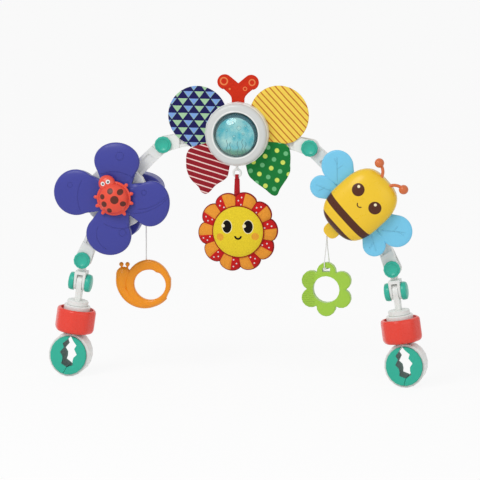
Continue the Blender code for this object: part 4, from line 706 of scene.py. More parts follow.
def dots(ground, first, second, spacing, radius, lean):
    """Dots of two colours by turns on a square grid that leans by an angle."""
    def pattern(tree):
        x, z = (part / spacing for part in flat_place(tree, lean=lean))
        reach = distance(x.math("FRACT") - 0.5, z.math("FRACT") - 0.5)
        cell = x.math("FLOOR") + z.math("FLOOR")
        dot = mixed(abs(cell).math("MODULO", 2.0), first, second)
        return mixed(within(reach, radius / spacing, 0.05), ground, dot)
    return pattern


def painted_gap_shade(tree):
    """Painted shade on the rubber: darker inside the jaws' gap, where the depth is more than a
    little short of the pad's two faces.
    """
    depth = abs(split(object_place(tree))[1]) / MM
    return mixed(within(depth, 16.6, 0.8), tones().pad, tones().gap_shade)


# The polished rigid pieces: a merged copy of each CAD solid with softened shading

RIGID = {
    "white_plastic": (
        "left_clamp_neck", "left_neck_cap", "left_jaw_outer_shell", "left_jaw_inner_shell",
        "left_stem", "left_link", "left_arm", "flower_base", "centre_beam", "hub_housing",
        "right_arm", "right_link", "right_stem", "right_clamp_neck", "right_neck_cap",
        "right_jaw_outer_shell", "right_jaw_inner_shell",
    ),
    "teal_plastic": ("left_tilt_bolt", "left_tilt_cap", "right_tilt_bolt", "right_tilt_cap"),
    "teal_rubber": (
        "left_jaw_outer_pad", "left_jaw_inner_pad", "right_jaw_outer_pad", "right_jaw_inner_pad",
    ),
    "grey_plastic": ("left_clamp_collar", "right_clamp_collar", "cord_reel"),
    "spring_steel": ("reel_spring", "spindle"),
}
KNOBS = ("left_lower_knob", "left_upper_knob", "right_upper_knob", "right_lower_knob")


def body_of(node):
    for body, nodes in frame["record"]["behaviour"]["bodies"].items():
        if node in nodes:
            return body
    raise ValueError("no body holds " + node)


def polished(node, finish):
    """Copy of a CAD solid with its points merged, flat faces joined and round faces shaded
    smooth, which stands for the solid."""
    mesh = frame["nodes"][node].data.copy()
    mesh.name = node + "_shape"
    work = bmesh.new()
    work.from_mesh(mesh)
    bmesh.ops.remove_doubles(work, verts=work.verts, dist=0.01 * MM)
    bmesh.ops.dissolve_limit(work, angle_limit=math.radians(0.4), verts=work.verts,
                             edges=work.edges, delimit={"NORMAL"})
    work.to_mesh(mesh)
    work.free()
    thing = finished_object(node + "_look", mesh)
    mesh.set_sharp_from_angle(angle=math.radians(32.0))
    return settle(thing, finish, body_of(node), (node,))


def rigid_finish(slot):
    """Finish of a material slot of the moulded pieces."""
    c = tones()
    if slot == "spring_steel":
        return metal("reel_steel", c.steel)
    rgb, roughness, coat = {
        "white_plastic": (c.white, 0.34, 0.1),
        "teal_plastic": (c.teal, 0.33, 0.15),
        "teal_rubber": (painted_gap_shade, 0.5, 0.0),
        "coral_plastic": (c.coral, 0.28, 0.2),
        "grey_plastic": (c.grey, 0.42, 0.0),
        "purple_plastic": (c.violet, 0.36, 0.05),
        "red_plastic": (c.ladybird, 0.3, 0.25),
        "orange_plastic": (c.snail, 0.32, 0.2),
        "yellow_plastic": (c.honey, 0.28, 0.3),
    }[slot]
    return plastic(slot + "_finish", rgb, roughness, coat)


# The stage

FLOOR_HEIGHT = -28.9 * MM
FLOOR_REACH = 16.0
# Share of plain white in what is seen of the floor, and the surroundings' light and how much
# brighter they are where they are seen
FLOOR_GLOW = 0.88
ROOM_LIGHT = 0.56
ROOM_SEEN = 0.44
VIEW_MIDDLE = Vector((227.3, 0.0, 157.7)) * MM
VIEW_TURN = math.radians(10.5)
VIEW_RISE = math.radians(8.74)
# Each lamp's name, place from the middle of the view, power and width
LAMPS = (("key_lamp", (-0.9, -1.7, 1.6), 22.0, 1.3), ("fill_lamp", (1.6, -1.6, 0.6), 4.0, 1.6))


class ARCH_OT_stage(bpy.types.Operator):
    """Lay the pale floor, the soft studio light and the camera"""
    bl_idname = "arch.stage"
    bl_label = "Stage"

    def execute(self, context):
        lay_floor()
        studio_light()
        aim_camera(measures().camera_distance, measures().view_width)
        return {"FINISHED"}


def lay_floor():
    """Wide square under the arch, which shows as white and keeps its shadow."""
    mesh = bpy.data.meshes.new("floor")
    corners = [(across * FLOOR_REACH, deep * FLOOR_REACH, FLOOR_HEIGHT)
               for across, deep in ((-1, -1), (1, -1), (1, 1), (-1, 1))]
    mesh.from_pydata(corners, [], [(0, 1, 2, 3)])
    floor = bpy.data.objects.new("floor", mesh)
    bpy.context.scene.collection.objects.link(floor)
    finish, tree, _ = new_finish("floor_white", {
        "Base Color": tones().floor, "Roughness": 0.9, "Specular IOR Level": 0.1})
    glow = tree.nodes.new("ShaderNodeEmission")
    blend = tree.nodes.new("ShaderNodeMixShader")
    attach(seen_directly(tree) * FLOOR_GLOW, blend.inputs["Fac"])
    tree.links.new(tree.nodes["Principled BSDF"].outputs[0], blend.inputs[1])
    tree.links.new(glow.outputs[0], blend.inputs[2])
    tree.links.new(blend.outputs[0], tree.nodes["Material Output"].inputs["Surface"])
    mesh.materials.append(finish)


def seen_directly(tree):
    """One where the ray comes from the camera, a mirror or clear plastic."""
    node = tree.nodes.new("ShaderNodeLightPath")
    camera, mirror, clear = (Field(tree, node.outputs["Is " + kind + " Ray"])
                             for kind in ("Camera", "Glossy", "Transmission"))
    return (camera + mirror + clear).clamped()


def studio_light():
    """Even white surroundings, one large lamp high on the left and a weak one on the right."""
    scene = bpy.context.scene
    scene.world = scene.world or bpy.data.worlds.new("studio")
    scene.world.use_nodes = True
    tree = scene.world.node_tree
    background = tree.nodes["Background"].inputs
    background["Color"].default_value = (1.0, 1.0, 1.0, 1.0)
    attach(seen_directly(tree) * ROOM_SEEN + ROOM_LIGHT, background["Strength"])
    for name, place, power, width in LAMPS:
        lamp = bpy.data.lights.new(name, "AREA")
        lamp.shape = "DISK"
        lamp.size = width
        lamp.energy = power
        thing = bpy.data.objects.new(name, lamp)
        scene.collection.objects.link(thing)
        thing.location = VIEW_MIDDLE + Vector(place)
        thing.rotation_euler = (-Vector(place)).to_track_quat("-Z", "Y").to_euler()
    scene.view_settings.view_transform = "Standard"


def aim_camera(distance, width):
    """Camera that stands at the photograph's angle and takes in the width at the middle."""
    away = Vector((math.sin(VIEW_TURN) * math.cos(VIEW_RISE),
                   -math.cos(VIEW_TURN) * math.cos(VIEW_RISE), math.sin(VIEW_RISE)))
    camera = bpy.data.cameras.new("camera")
    camera.lens = camera.sensor_width * distance / width
    camera.clip_end = 60.0
    thing = bpy.data.objects.new("camera", camera)
    bpy.context.scene.collection.objects.link(thing)
    thing.location = VIEW_MIDDLE + away * distance
    thing.rotation_euler = (-away).to_track_quat("-Z", "Y").to_euler()
    bpy.context.scene.camera = thing


# The two cords

SNAIL_OUTLET = np.array((98.87, 16.0, 223.34))
SNAIL_CORD = 98.5
TEETHER = (345.19, -17.0, 169.05)


class ARCH_OT_cords(bpy.types.Operator):
    """Hang the snail's pull cord and the teether's loop"""
    bl_idname = "arch.cords"
    bl_label = "Cords"

    def execute(self, context):
        finish = braided("cord_braid", tones().cord)
        pull = SNAIL_OUTLET - np.linspace(0, SNAIL_CORD, 40)[:, None] * (0, 0, 1)
        hang_cord("snail_pull", pull, 1.5, finish, "snail_line", "snail_cord")
        loop = smooth_curve(teether_route() + TEETHER, 60, closed=False)
        hang_cord("teether_loop", loop, 1.3, finish, "teething_toy", "teether_cord")
        return {"FINISHED"}


def teether_route():
    """Route of the loop in its own frame: down one side, through the teether's slot, and up the
    other side as the same line turned half round."""
    half = np.array((
        (0.0, -1.15, 0.0), (0.4, -1.48, -8.65), (1.0, -3.08, -19.03), (1.7, -5.83, -29.41),
        (2.0, -6.65, -35.29), (2.0, -6.65, -41.4), (2.0, -6.65, -42.55), (2.0, -5.5, -43.2),
        (0.0, 0.0, -43.2),
    ))
    return np.vstack([half * (-1, 1, 1), half[-2::-1] * (1, -1, 1)])


def hang_cord(name, path, thickness, finish, body, node):
    """Round cord along a path: circles square to it, carried without twist."""
    radii = np.full(len(path), thickness / 2)
    rings = tube_rings(path, headings(path), radii, 12, reference=(0.0, 1.0, 0.37))
    cord = ring_surface(name, rings)
    settle(cord, finish, body, (node,))
    path = path * MM
    thickness = thickness * MM


# Moulded pieces: most keep the solid's shape, and the hand nuts have their own

CLAMP_SPACING = 447.66
# Radius and width of the ring raised on a knob
KNOB_RING = (8.2, 0.7)
# Sine and cosine of the lean of both clamps
CLAMP_LEAN = (0.13969, 0.9902)


class ARCH_OT_mouldings(bpy.types.Operator):
    """Polish the clamps, arms, hinges and hidden works, and build the hand nuts"""
    bl_idname = "arch.mouldings"
    bl_label = "Moulded pieces"

    def execute(self, context):
        for slot, nodes in RIGID.items():
            finish = rigid_finish(slot)
            for node in nodes:
                polished(node, finish)
        rings = []
        for node in KNOBS:
            low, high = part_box(node)
            middle = (low + high) / 2 / MM
            rings.append(ring_mark(middle.x, middle.z, *KNOB_RING))
        knob = plastic("knob_teal", tones().teal, 0.33, coat=0.15, marks=rings)
        for node in KNOBS:
            polished(node, knob)
        nut_barrel("left_nut_barrel", "left_clamp_nut", 0.0, 1)
        nut_barrel("right_nut_barrel", "right_clamp_nut", CLAMP_SPACING, -1)
        return {"FINISHED"}


# Each point of the nut's section: radius and height along the clamp's axis
NUT = (
    (6.3, 54.0), (21.4, 54.0), (21.6, 60.4), (22.1, 61.1), (22.9, 61.3), (23.7, 61.2),
    (24.9, 60.5), (25.8, 58.8), (26.0, 56.5), (26.0, 37.0), (25.8, 34.8), (25.1, 32.6),
    (23.9, 30.9), (22.6, 30.1), (21.4, 29.9), (15.5, 29.9), (15.5, 50.0), (6.3, 50.0),
)
NUT_WALL = 21.7
NUT_FLATS = 8
NUT_FLAT_DEPTH = 0.014


def nut_barrel(name, node, foot, side):
    """Hand nut: a barrel with rounded ends and an open cup, carried round the clamp's leaning
    axis, with its outer wall drawn in by a cosine of eight times the angle."""
    profile = np.array(NUT)
    angle = round_angles(128)
    drawn_in = 1 - NUT_FLAT_DEPTH * (1 - np.cos(NUT_FLATS * angle))
    reach = profile[:, :1] * np.where(profile[:, :1] > NUT_WALL, drawn_in, 1.0)
    across = reach * np.cos(angle)
    height = np.repeat(profile[:, 1:], len(angle), axis=1)
    sine, cosine = CLAMP_LEAN
    rings = np.stack([foot + across * cosine + height * side * sine, reach * np.sin(angle),
                      height * cosine - across * side * sine], axis=-1)
    settle(ring_surface(name, rings), rigid_finish("coral_plastic"), body_of(node),
           (node,))


# The flower, its ladybird and the casing behind them

FLOWER = np.array((65.37, 212.84))
# The casing's wall: mean radius, how far its four lobes swing, their turn, its rounded edge, and
# the radius that the edge is a share of
CASING_RADIUS = 47.5
CASING_LOBE = 9.5
CASING_TURN = math.radians(11.0)
CASING_EDGE = 1.6
CASING_REACH = 52.0
PETAL_TURN = 85.0
# A petal head's distance from the middle, half length and half width, and those of its swell
PETAL_REACH = 49.2
PETAL_SIZE = (26.0, 30.2)
SWELL_SIZE = (27.0, 31.0)
# Where the outline passes between two petals
NECK = np.array([(20.5, 20.5)])
# The crease across a petal's neck: distance, width, depth and half length
NECK_CREASE = (24.0, 1.6, 0.5, 22.0)
# Lean in degrees, and added reach in millimetres, of the top, left, bottom and right petals
PETALS = ((2.0, -2.6), (-1.0, 7.0), (-5.0, 2.0), (-3.4, -2.0))
# Raised on the petals: each button's place and radius, and each crease's place from the flower's
# middle, its radius, the angle it lies towards and how short it is
BUTTONS = ((72.8, 268.3, 5.2), (6.0, 228.8, 3.3), (105.1, 221.0, 3.3), (76.2, 167.2, 4.6))
CREASES = ((0, -6, 41, 85, 0.86), (0, 0, 49, 178, 0.91), (30, 38, 52, -62, 0.90),
           (22, 46, 66, -64, 0.92), (-2, -48, 22, 200, 0.7), (8, 4, 44, -98, 0.93))
# The ladybird's head and spots, from the flower's middle, and the angles of its feet
HEAD = (-8.7, 19.6)
FEET = (47, 16, -14, 177, -155, -127, -55)
SPOTS = ((4.0, 0.0, 5.4), (-2.2, 11.0, 3.9), (10.7, 10.0, 3.9), (-12.8, 3.4, 3.4),
         (-10.3, -6.2, 3.9), (14.3, -5.4, 3.5), (-3.6, -14.6, 3.4))


def casing(name, node, front, back):
    """Lobed drum: its radius is a circle's plus a cosine of four times the angle, and its edges
    are quarter rounds."""
    angle = round_angles(160)
    outline = FLOWER + arc(angle, CASING_RADIUS + CASING_LOBE * np.cos(4 * (angle - CASING_TURN)))
    turn = np.linspace(0, math.pi / 2, 6)
    edge = min(CASING_EDGE, (back - front) * 0.4)
    rounding = 1 - edge / CASING_REACH * (1 - np.sin(turn))
    face = np.linspace(0.05, 0.93, 6)
    share = np.concatenate([face, rounding, rounding[::-1], face[::-1]])
    slope = edge * (1 - np.cos(turn))
    depth = np.concatenate([np.full(6, front), front + slope, back - slope[::-1],
                            np.full(6, back)])
    shell = pillow(name, outline, FLOWER, share, depth)
    settle(shell, rigid_finish("purple_plastic"), body_of(node), (node,))


def petal_outline():
    """Four heads a quarter turn apart, each an ellipse's arc that starts and ends at its neck."""
    sweep = np.radians(np.linspace(-122, 122, 40))
    parts = []
    for index, (lean, reach) in enumerate(PETALS):
        turn = PETAL_TURN + 90 * index
        head = arc(sweep, PETAL_SIZE[0] + reach / 2, PETAL_SIZE[1]) + (PETAL_REACH + reach / 2, 0)
        parts += [spun(head, turn + lean), spun(NECK, turn)]
    return np.vstack(parts) + FLOWER


def petal_relief(x, z, share):
    """Each petal swells by one less the square of its distance from the head's middle, and a
    crease that falls off as a bell curve crosses its neck."""
    swell = measures().petal_swell / MM
    crease_reach, crease_width, crease_depth, crease_end = NECK_CREASE
    total = np.zeros_like(x)
    for index, (lean, reach) in enumerate(PETALS):
        place = spun(np.stack([x, z], axis=-1) - FLOWER, -PETAL_TURN - 90 * index - lean)
        along = (place[..., 0] - PETAL_REACH - reach / 2) / (SWELL_SIZE[0] + reach / 2)
        across = place[..., 1] / SWELL_SIZE[1]
        total = np.maximum(total, swell * np.clip(1 - along ** 2 - across ** 2, 0, 1))
        crease = np.exp(-((place[..., 0] - crease_reach) / crease_width) ** 2)
        total -= crease_depth * crease * (np.abs(place[..., 1]) < crease_end)
    return total * (share < 1)


def domed_rings(front, rim, back, crown, count, back_count):
    """Shares and depths of a domed front, where the height falls off as one minus the share to a
    power, and of a flatter back."""
    share = np.sin(np.linspace(0.06, 0.5, count) * math.pi)
    rise = (1 - share ** crown) ** (1 / crown)
    back_share = np.sin(np.linspace(0.5, 0.06, back_count) * math.pi)[1:]
    drop = (1 - back_share ** (2 * crown)) ** (1 / (2 * crown))
    return (np.concatenate([share, back_share]),
            np.concatenate([rim + (front - rim) * rise, rim + (back - rim) * drop]))


class ARCH_OT_flower(bpy.types.Operator):
    """Build the spinning flower, the ladybird on its middle and the casing behind it"""
    bl_idname = "arch.flower"
    bl_label = "Flower and ladybird"

    def execute(self, context):
        c = tones()
        share, depth = domed_rings(-26.2, -21.0, -14.4, 5.0, 22, 6)
        petals = pillow("petals", petal_outline(), FLOWER, share, depth, petal_relief)
        embossed = [ring_mark(x, z, radius, 0.9) for x, z, radius in BUTTONS]
        embossed += [smile(FLOWER[0] + x, FLOWER[1] + z, radius, 0.7, towards, shortness)
                     for x, z, radius, towards, shortness in CREASES]
        finish = plastic("petal_violet", c.violet, 0.36, coat=0.05, marks=embossed)
        settle(petals, finish, "flower", ("flower_rotor",))
        self.ladybird(c)
        casing("casing_shell", "rear_casing", 6.3, 26.0)
        casing("casing_back", "casing_cover", 26.3, 28.3)
        return {"FINISHED"}

    def ladybird(self, c):
        """Flat rim, domed and spotted shell, ball head with a face, and small feet."""
        red = rigid_finish("red_plastic")
        rim = ((0.2, -29.1), (21.6, -29.1), (22.5, -29.6), (22.6, -31.6), (21.9, -32.3),
               (20.2, -32.5), (0.2, -32.5))
        base = turned("ladybird_base", rim, FLOWER)
        settle(base, red, "flower", ("ladybird",))
        dome = arc(np.linspace(0, math.pi / 2 - 0.02, 18), 20.4, -14.2) + (0, -32.4)
        dome = np.vstack([(0.2, -31.6), (20.4, -31.6), dome])
        spots = [(c.spot, disc(*spot)) for spot in SPOTS]
        finish = plastic("ladybird_shell", painted(c.ladybird, spots, FLOWER), 0.36, coat=0.08)
        settle(turned("ladybird_shell", dome, FLOWER, 96), finish, "flower")
        x, z = FLOWER + HEAD
        head = ellipsoid("ladybird_head", (x, -32.6, z), (11.2, 7.6, 11.2), columns=48, rows=32)
        finish = plastic("ladybird_face", painted(c.ladybird, self.eyes(c), (x, z)), 0.3, coat=0.25)
        settle(head, finish, "flower")
        for index, degrees in enumerate(FEET):
            x, z = FLOWER + arc(math.radians(degrees), 23.4)
            nub = ellipsoid("ladybird_foot_" + str(index + 1), (x, -30.8, z), (3.6, 1.6, 2.5),
                            degrees, 12, 20)
            settle(nub, red, "flower")

    def eyes(self, c):
        layers = []
        for x, z in ((-4.2, 0.4), (2.6, 3.2)):
            layers += [(c.white, disc(x, z, 2.8)), (c.dark, disc(x + 0.3, z - 0.2, 1.3))]
        return layers + [(c.dark, smile(1.6, -3.4, 3.0, 0.7))]


# The snail ring

SNAIL_BODY = (94.77, 98.04)
# Middles of the circles that the shell lies between
SHELL_INNER = (103.47, 92.74)
SHELL_OUTER = (101.47, 93.54)
# Each feeler's side, the place of its ball, and how far it leans
SNAIL_EYES = (("left", 65.27, 118.54, -0.8), ("right", 73.57, 118.74, 0.9))


class ARCH_OT_snail(bpy.types.Operator):
    """Build the orange snail that hangs on the pull cord"""
    bl_idname = "arch.snail"
    bl_label = "Snail ring"

    def execute(self, context):
        depth = SNAIL_OUTLET[1]
        self.add(self.shell(depth), ("snail_ring",))
        sweep = np.radians(np.linspace(172, 322, 60))
        share = np.linspace(0, 1, 60)
        stops = (0, 0.3, 0.6, 0.8, 1)
        reach = np.interp(share, stops, (30.8, 30.7, 31.6, 33.3, 38.0))
        taper = np.interp(share, stops, (6.2, 6.5, 6.1, 4.8, 1.7))
        path = upright(arc(sweep, reach) + SNAIL_BODY, depth)
        self.add(bent_tube("snail_body", path, taper, 28, flatness=0.78))
        neck = smooth_curve(((66.2, 91.0), (66.0, 98.0), (68.0, 105.0)), 12, closed=False)
        self.add(bent_tube("snail_neck", upright(neck, depth), 7.9, 28, flatness=0.69))
        self.add(ellipsoid("snail_head", (68.2, depth, 104.6), (10.2, 5.0, 10.8), rows=24,
                           columns=36))
        for name, x, z, lean in SNAIL_EYES:
            self.add(ellipsoid("snail_eye_" + name, (x, depth, z), (3.0, 3.0, 3.0), rows=16,
                               columns=24))
            stalk = ((x - lean, depth, 112.0), (x, depth, 117.0))
            self.add(bent_tube("snail_stalk_" + name, stalk, 1.4, 14))
        return {"FINISHED"}

    def add(self, thing, nodes=()):
        settle(thing, rigid_finish("orange_plastic"), "snail", nodes)

    def shell(self, depth):
        """Ring between two circles that don't share a middle: at each angle its section spans
        from the inner to the outer one, with bell-shaped bumps on both."""
        angle = round_angles(160)
        inner_reach = (20.4 - bell(angle, 62, 9, 1.5) - bell(angle, 95, 40, 0.8)
                       + bell(angle, 0, 40, 1.2) + bell(angle, 180, 30, 0.5))
        outer_reach = (30.4 + bell(angle, 85, 45, 1.7) + bell(angle, 14, 6, 0.8)
                       - bell(angle, -25, 8, 0.8))
        inner = arc(angle, inner_reach)[:, None, :] + SHELL_INNER
        outer = arc(angle, outer_reach)[:, None, :] + SHELL_OUTER
        section = rounded_square(0.5, 5.0, 3.2, 28)
        flat = inner + (section[:, :1] + 0.5) * (outer - inner)
        return ring_surface("snail_shell", upright(flat, depth + section[:, 1]), looped=True)


def bell(angle, middle, width, height):
    """Bell curve of the angle from a middle, both in degrees."""
    off = np.degrees(np.angle(np.exp(1j * (angle - math.radians(middle)))))
    return height * np.exp(-(off / width) ** 2)


# The hub: bezel, clear dome and the picture under it

HUB = np.array((226.43, 299.53))
BEZEL = ((29.3, -22.4), (29.3, -26.6), (29.7, -27.9), (30.7, -28.3), (32.0, -27.9), (34.4, -27.6),
         (37.4, -26.9), (39.6, -25.2), (40.5, -22.9), (40.0, -22.4), (35.0, -22.35))
DOME_RADIUS = 28.6
DOME_RISE = 13.5
DOME_FOOT = -23.3
DOME_WALL = 1.4
PICTURE = ((0.2, -20.9), (33.9, -20.9), (34.0, -21.9), (28.0, -22.0), (0.2, -22.0))
# Weeds: place across, top and how fast each sways; bubbles: place and radius
WEEDS = ((-12.0, -7.0, 0.62), (-8.0, -10.0, 0.70), (2.0, -9.0, 0.56), (8.0, -6.0, 0.66),
         (12.0, -9.5, 0.60))
BUBBLES = ((3.5, 8.5, 2.8), (-4.5, 15.0, 1.9), (9.0, 0.5, 1.4), (-2.5, -3.0, 2.2),
           (12.5, 11.0, 1.5), (-12.5, 5.0, 1.3))


class ARCH_OT_hub(bpy.types.Operator):
    """Build the round bezel, the clear dome and the sea picture under it"""
    bl_idname = "arch.hub"
    bl_label = "Hub"

    def execute(self, context):
        c = tones()
        # Painted highlight: a thin white ring round the bezel's inner edge, where the light catches
        # it
        lip_highlight = [(c.white, ring_mark(0.0, 0.0, 30.6, 1.9))]
        finish = plastic("bezel_white", painted(c.bezel, lip_highlight, HUB), 0.24, coat=0.3)
        settle(hoop("bezel", smooth_curve(BEZEL, 66), HUB, 144), finish, "centre",
               ("hub_bezel",))
        angle = np.linspace(math.pi / 2 - 0.02, 0, 26)
        bore = DOME_RADIUS - DOME_WALL
        outer = arc(angle, DOME_RADIUS, -DOME_RISE) + (0, DOME_FOOT)
        inner = arc(angle, bore, DOME_WALL - DOME_RISE) + (0, DOME_FOOT)
        profile = np.vstack([outer, (DOME_RADIUS, -22.4), (bore, -22.4), inner[::-1]])
        settle(turned("dome", profile, HUB, 96), clear_plastic("dome_clear", c.glass), "centre",
               ("dome_lens",))
        settle(turned("sea_picture", PICTURE, HUB, 96),
               plastic("sea_print", sea_pattern, 0.4, coat=0.2), "centre",
               ("picture_disc",))
        return {"FINISHED"}


def sea_pattern(tree):
    """Aqua water with a green bed, thin wavy weed and bubbles, and a darker crescent at the upper
    right that is the bezel's shadow, painted on the picture."""
    c = tones()
    across, up = flat_place(tree, HUB)
    cloud = noise(object_place(tree), 70.0, 3.0, 0.55)
    shade = mixed((cloud * 2.6 - 0.95).clamped(), c.sea, c.glass)
    bed = ((cloud * 12 - (up + 24)) / 5).clamped()
    shade = mixed(bed * 0.7, shade, c.weed)
    for place, top, pace in WEEDS:
        swayed = (up * pace + place).math("SINE") * 0.8 + across
        strand = within(abs(swayed - place), 0.4, 0.4) * within(up, top, 1.0)
        shade = mixed(strand * 0.75, shade, c.deep)
    for x, z, radius in BUBBLES:
        shade = mixed(ring_mark(x, z, radius, 0.4)(across, up) * 0.7, shade, c.deep)
        shade = mixed(disc(x - 0.6, z + 0.6, 0.35 * radius)(across, up), shade, c.white)
    # Painted shadow of the bezel on the picture: a darker crescent at its upper right
    crescent = 1.0 - disc(-1.5, -3.2, 25.3)(across, up)
    return mixed(crescent, shade, c.deep)


# The cloth wings and felt antennae

LOWER_LEFT = (
    (-63.0, -21.0), (-69.0, -42.6), (-64.0, -60.0), (-52.8, -71.7), (-49.1, -78.1), (-42.6, -80.8),
    (-37.0, -77.2), (-29.6, -69.0), (-15.5, -59.0), (-11.8, -47.1), (-9.0, -23.0), (-22.8, -10.8),
)
LOWER_RIGHT = (
    (64.0, -13.7), (69.1, -41.7), (66.4, -54.5), (56.1, -70.8), (51.5, -79.9), (45.0, -79.9),
    (35.7, -72.6), (20.7, -61.8), (12.5, -50.8), (9.0, -23.0), (22.8, -10.8),
)
# Rings printed on the antennae: place, radius and width
FELT_RINGS = ((-18.6, 68.0, 4.6, 1.8), (18.6, 67.0, 3.8, 1.6), (-11.0, 58.0, 0.6, 1.4),
              (9.4, 58.6, 2.3, 1.1))
LOBE_RADIUS = 39.1
WING_DEPTH = -8.9
WING_HALF_THICKNESS = 0.95


def upper_wing(sign, centre, tip):
    """Round lobe of a wing from its arc, then straight back to the hub."""
    sweep = np.radians(np.linspace(-62, 168, 60))
    lobe = arc(sweep, sign * LOBE_RADIUS, LOBE_RADIUS) + centre
    return np.vstack([lobe, (sign * 21.5, 12.0), (sign * 22.5, -8.8), tip]) + HUB


def lower_wing(points):
    """Leaf-shaped wing: a smooth curve through its corners."""
    return smooth_curve(points + HUB, 120)


def antennae_outline():
    """Two round lobes on stems that part from one root: one side, and its mirror image."""
    lobe = arc(np.radians(np.linspace(-85, 200, 26)), 10) + (17.5, 67)
    right = np.vstack([(8.0, 24.5), (8.4, 40.0), (9.6, 48.5), lobe, (4.5, 63.4), (0.0, 62.0)])
    return smooth_curve(np.vstack([right, right[-2::-1] * (-1, 1)]) + HUB, 150)


def wing_relief(middle, phase):
    """Soft ripples: two sine waves across each other that fade out at the rim."""
    def relief(x, z, share):
        wave = np.sin((x - middle[0]) * 0.21 + phase) + np.sin((z - middle[1]) * 0.26 + 2 * phase)
        return 0.55 * wave * np.clip(1 - share, 0, 1) * np.clip(share * 4, 0, 1)
    return relief


class ARCH_OT_wings(bpy.types.Operator):
    """Build the hub's four printed cloth wings and its felt antennae"""
    bl_idname = "arch.wings"
    bl_label = "Wings and antennae"

    def execute(self, context):
        c = tones()
        thread = measures().thread
        self.wing("wing_upper_left", upper_wing(-1, (-53.6, 21.9), (-63.0, -19.5)),
                  cloth("triangle_print", triangles(9.55, 14.6), thread), "navy_cloth", 0.4)
        self.wing("wing_upper_right", upper_wing(1, (54.3, 24.6), (63.5, -12.2)),
                  cloth("yellow_print", stripes(c.sunny, c.amber, 47, 6.5, 1.6), thread),
                  "yellow_cloth", 1.9)
        self.wing("wing_lower_left", lower_wing(LOWER_LEFT),
                  cloth("wine_print", stripes(c.wine, c.blush, 16, 7.3, 1.5), thread),
                  "red_cloth", 3.1)
        self.wing("wing_lower_right", lower_wing(LOWER_RIGHT),
                  cloth("dotted_print", dots(c.leaf, c.pear, c.pea, 12.3, 3.0, -18), thread),
                  "green_cloth", 4.6)
        rings = [(c.peach, ring_mark(*ring)) for ring in FELT_RINGS]
        self.wing("antennae", antennae_outline(),
                  furry("printed_felt", painted(c.felt, rings, HUB), 0.6 * MM),
                  "coral_felt", 5.2, node="antennae_felt")
        return {"FINISHED"}

    def wing(self, name, outline, finish, slot, phase, node=None):
        """Two layers of cloth, sewn at the rim and slack between."""
        middle = outline.mean(axis=0)
        share = np.concatenate([np.linspace(0.04, 0.93, 18), [0.965, 0.985, 0.996, 1.0, 0.99, 0.96],
                                np.linspace(0.9, 0.04, 10)])
        edge = np.clip(1 - np.abs(share) ** 24, 0, 1) ** 0.5
        groove = 0.35 * np.exp(-((share - 0.945) / 0.012) ** 2)
        face = np.where(np.arange(len(share)) < 22, -1, 1)
        depth = WING_DEPTH + face * (WING_HALF_THICKNESS * edge - groove)
        shape = pillow("sewn_" + name, outline, middle, share, depth, wing_relief(middle, phase))
        settle(shape, finish, "centre", (node or name,))


# The sun and its ribbon

SUN = np.array((227.93, 171.4))
FACE = np.array((229.4, 172.4))
SUN_DEPTH = -16.0
# The rim's radius between petals, how far the petals reach past it, and where the piping starts
SUN_RADIUS = 45.5
SUN_LOBE = 7.5
SUN_PIPING = 43.9
FACE_RADIUS = 33.2
FACE_DEPTH = -24.6
SUN_PETALS = 10
SUN_TURN = math.radians(112.0)
PETAL_ANGLE = 2 * math.pi / SUN_PETALS
# Where on its petal the red part starts, and the white dots on it: share round, and reach
SUN_SEAM = 0.56
SUN_DOTS = ((0.68, 36.8), (0.84, 41.5), (0.70, 46.0))
RIBBON_EYE = np.array((226.43, 243.53))
RIBBON_PATCH = (226.43, 222.13)
# Each ribbon piece's body, top and bottom from the eye, and half widths there
RIBBONS = (("ribbon_strip", "ribbon", -2.7, -21.0, 3.3, 3.9),
           ("ribbon_end", "sun", -21.3, -29.0, 3.9, 4.1))


def petal_wave(angle):
    """Root of a cosine's size, which is one at each petal's tip and nought between petals."""
    return np.sqrt(np.abs(np.cos((angle - SUN_TURN) * math.pi / PETAL_ANGLE)))


def sun_relief(x, z, share):
    """Petals puff by a cosine's root, a seam parts their two colours, and small creases run out
    from the face."""
    x, z = x - SUN[0], z - SUN[1]
    angle = np.arctan2(z, x)
    outward = np.clip((np.hypot(x, z) - 33) / 8, 0, 1)
    crease = np.sin(angle * 43 + np.sin(angle * 7) * 2) * 0.22
    turns = (angle - SUN_TURN) / PETAL_ANGLE + 0.5
    seam = 1.1 * np.exp(-((turns - np.floor(turns) - SUN_SEAM) / 0.035) ** 2)
    return ((petal_wave(angle) - 1) * 2.6 + crease - seam) * outward * (share < 0.995)


def sun_pattern(tree):
    """Each petal is orange on its clockwise part and red with white dots on the rest, with dark
    piping along the rim and between the petals."""
    c = tones()
    across, up = flat_place(tree, SUN)
    reach = distance(across, up)
    angle = up.math("ARCTAN2", across)
    turns = (angle - (SUN_TURN - PETAL_ANGLE / 2)) / PETAL_ANGLE
    share = (turns + SUN_PETALS).math("FRACT")
    shade = mixed(((share - SUN_SEAM) * 40.0).clamped(), c.orange, c.red)
    for place, out in SUN_DOTS:
        side = (share - place) * (reach * PETAL_ANGLE)
        shade = mixed(disc(0.0, out, 0.95)(side, reach), shade, c.white)
    wave = abs(((angle - SUN_TURN) * (SUN_PETALS / 2)).math("COSINE")).math("SQRT")
    edge = ((reach - (wave * SUN_LOBE + SUN_PIPING)) / 0.3).clamped()
    shade = mixed(edge, shade, c.piping)
    inside = ((0.49 - abs(share - 0.5)) / 0.008).clamped()
    return mixed(1.0 - inside, shade, c.piping)


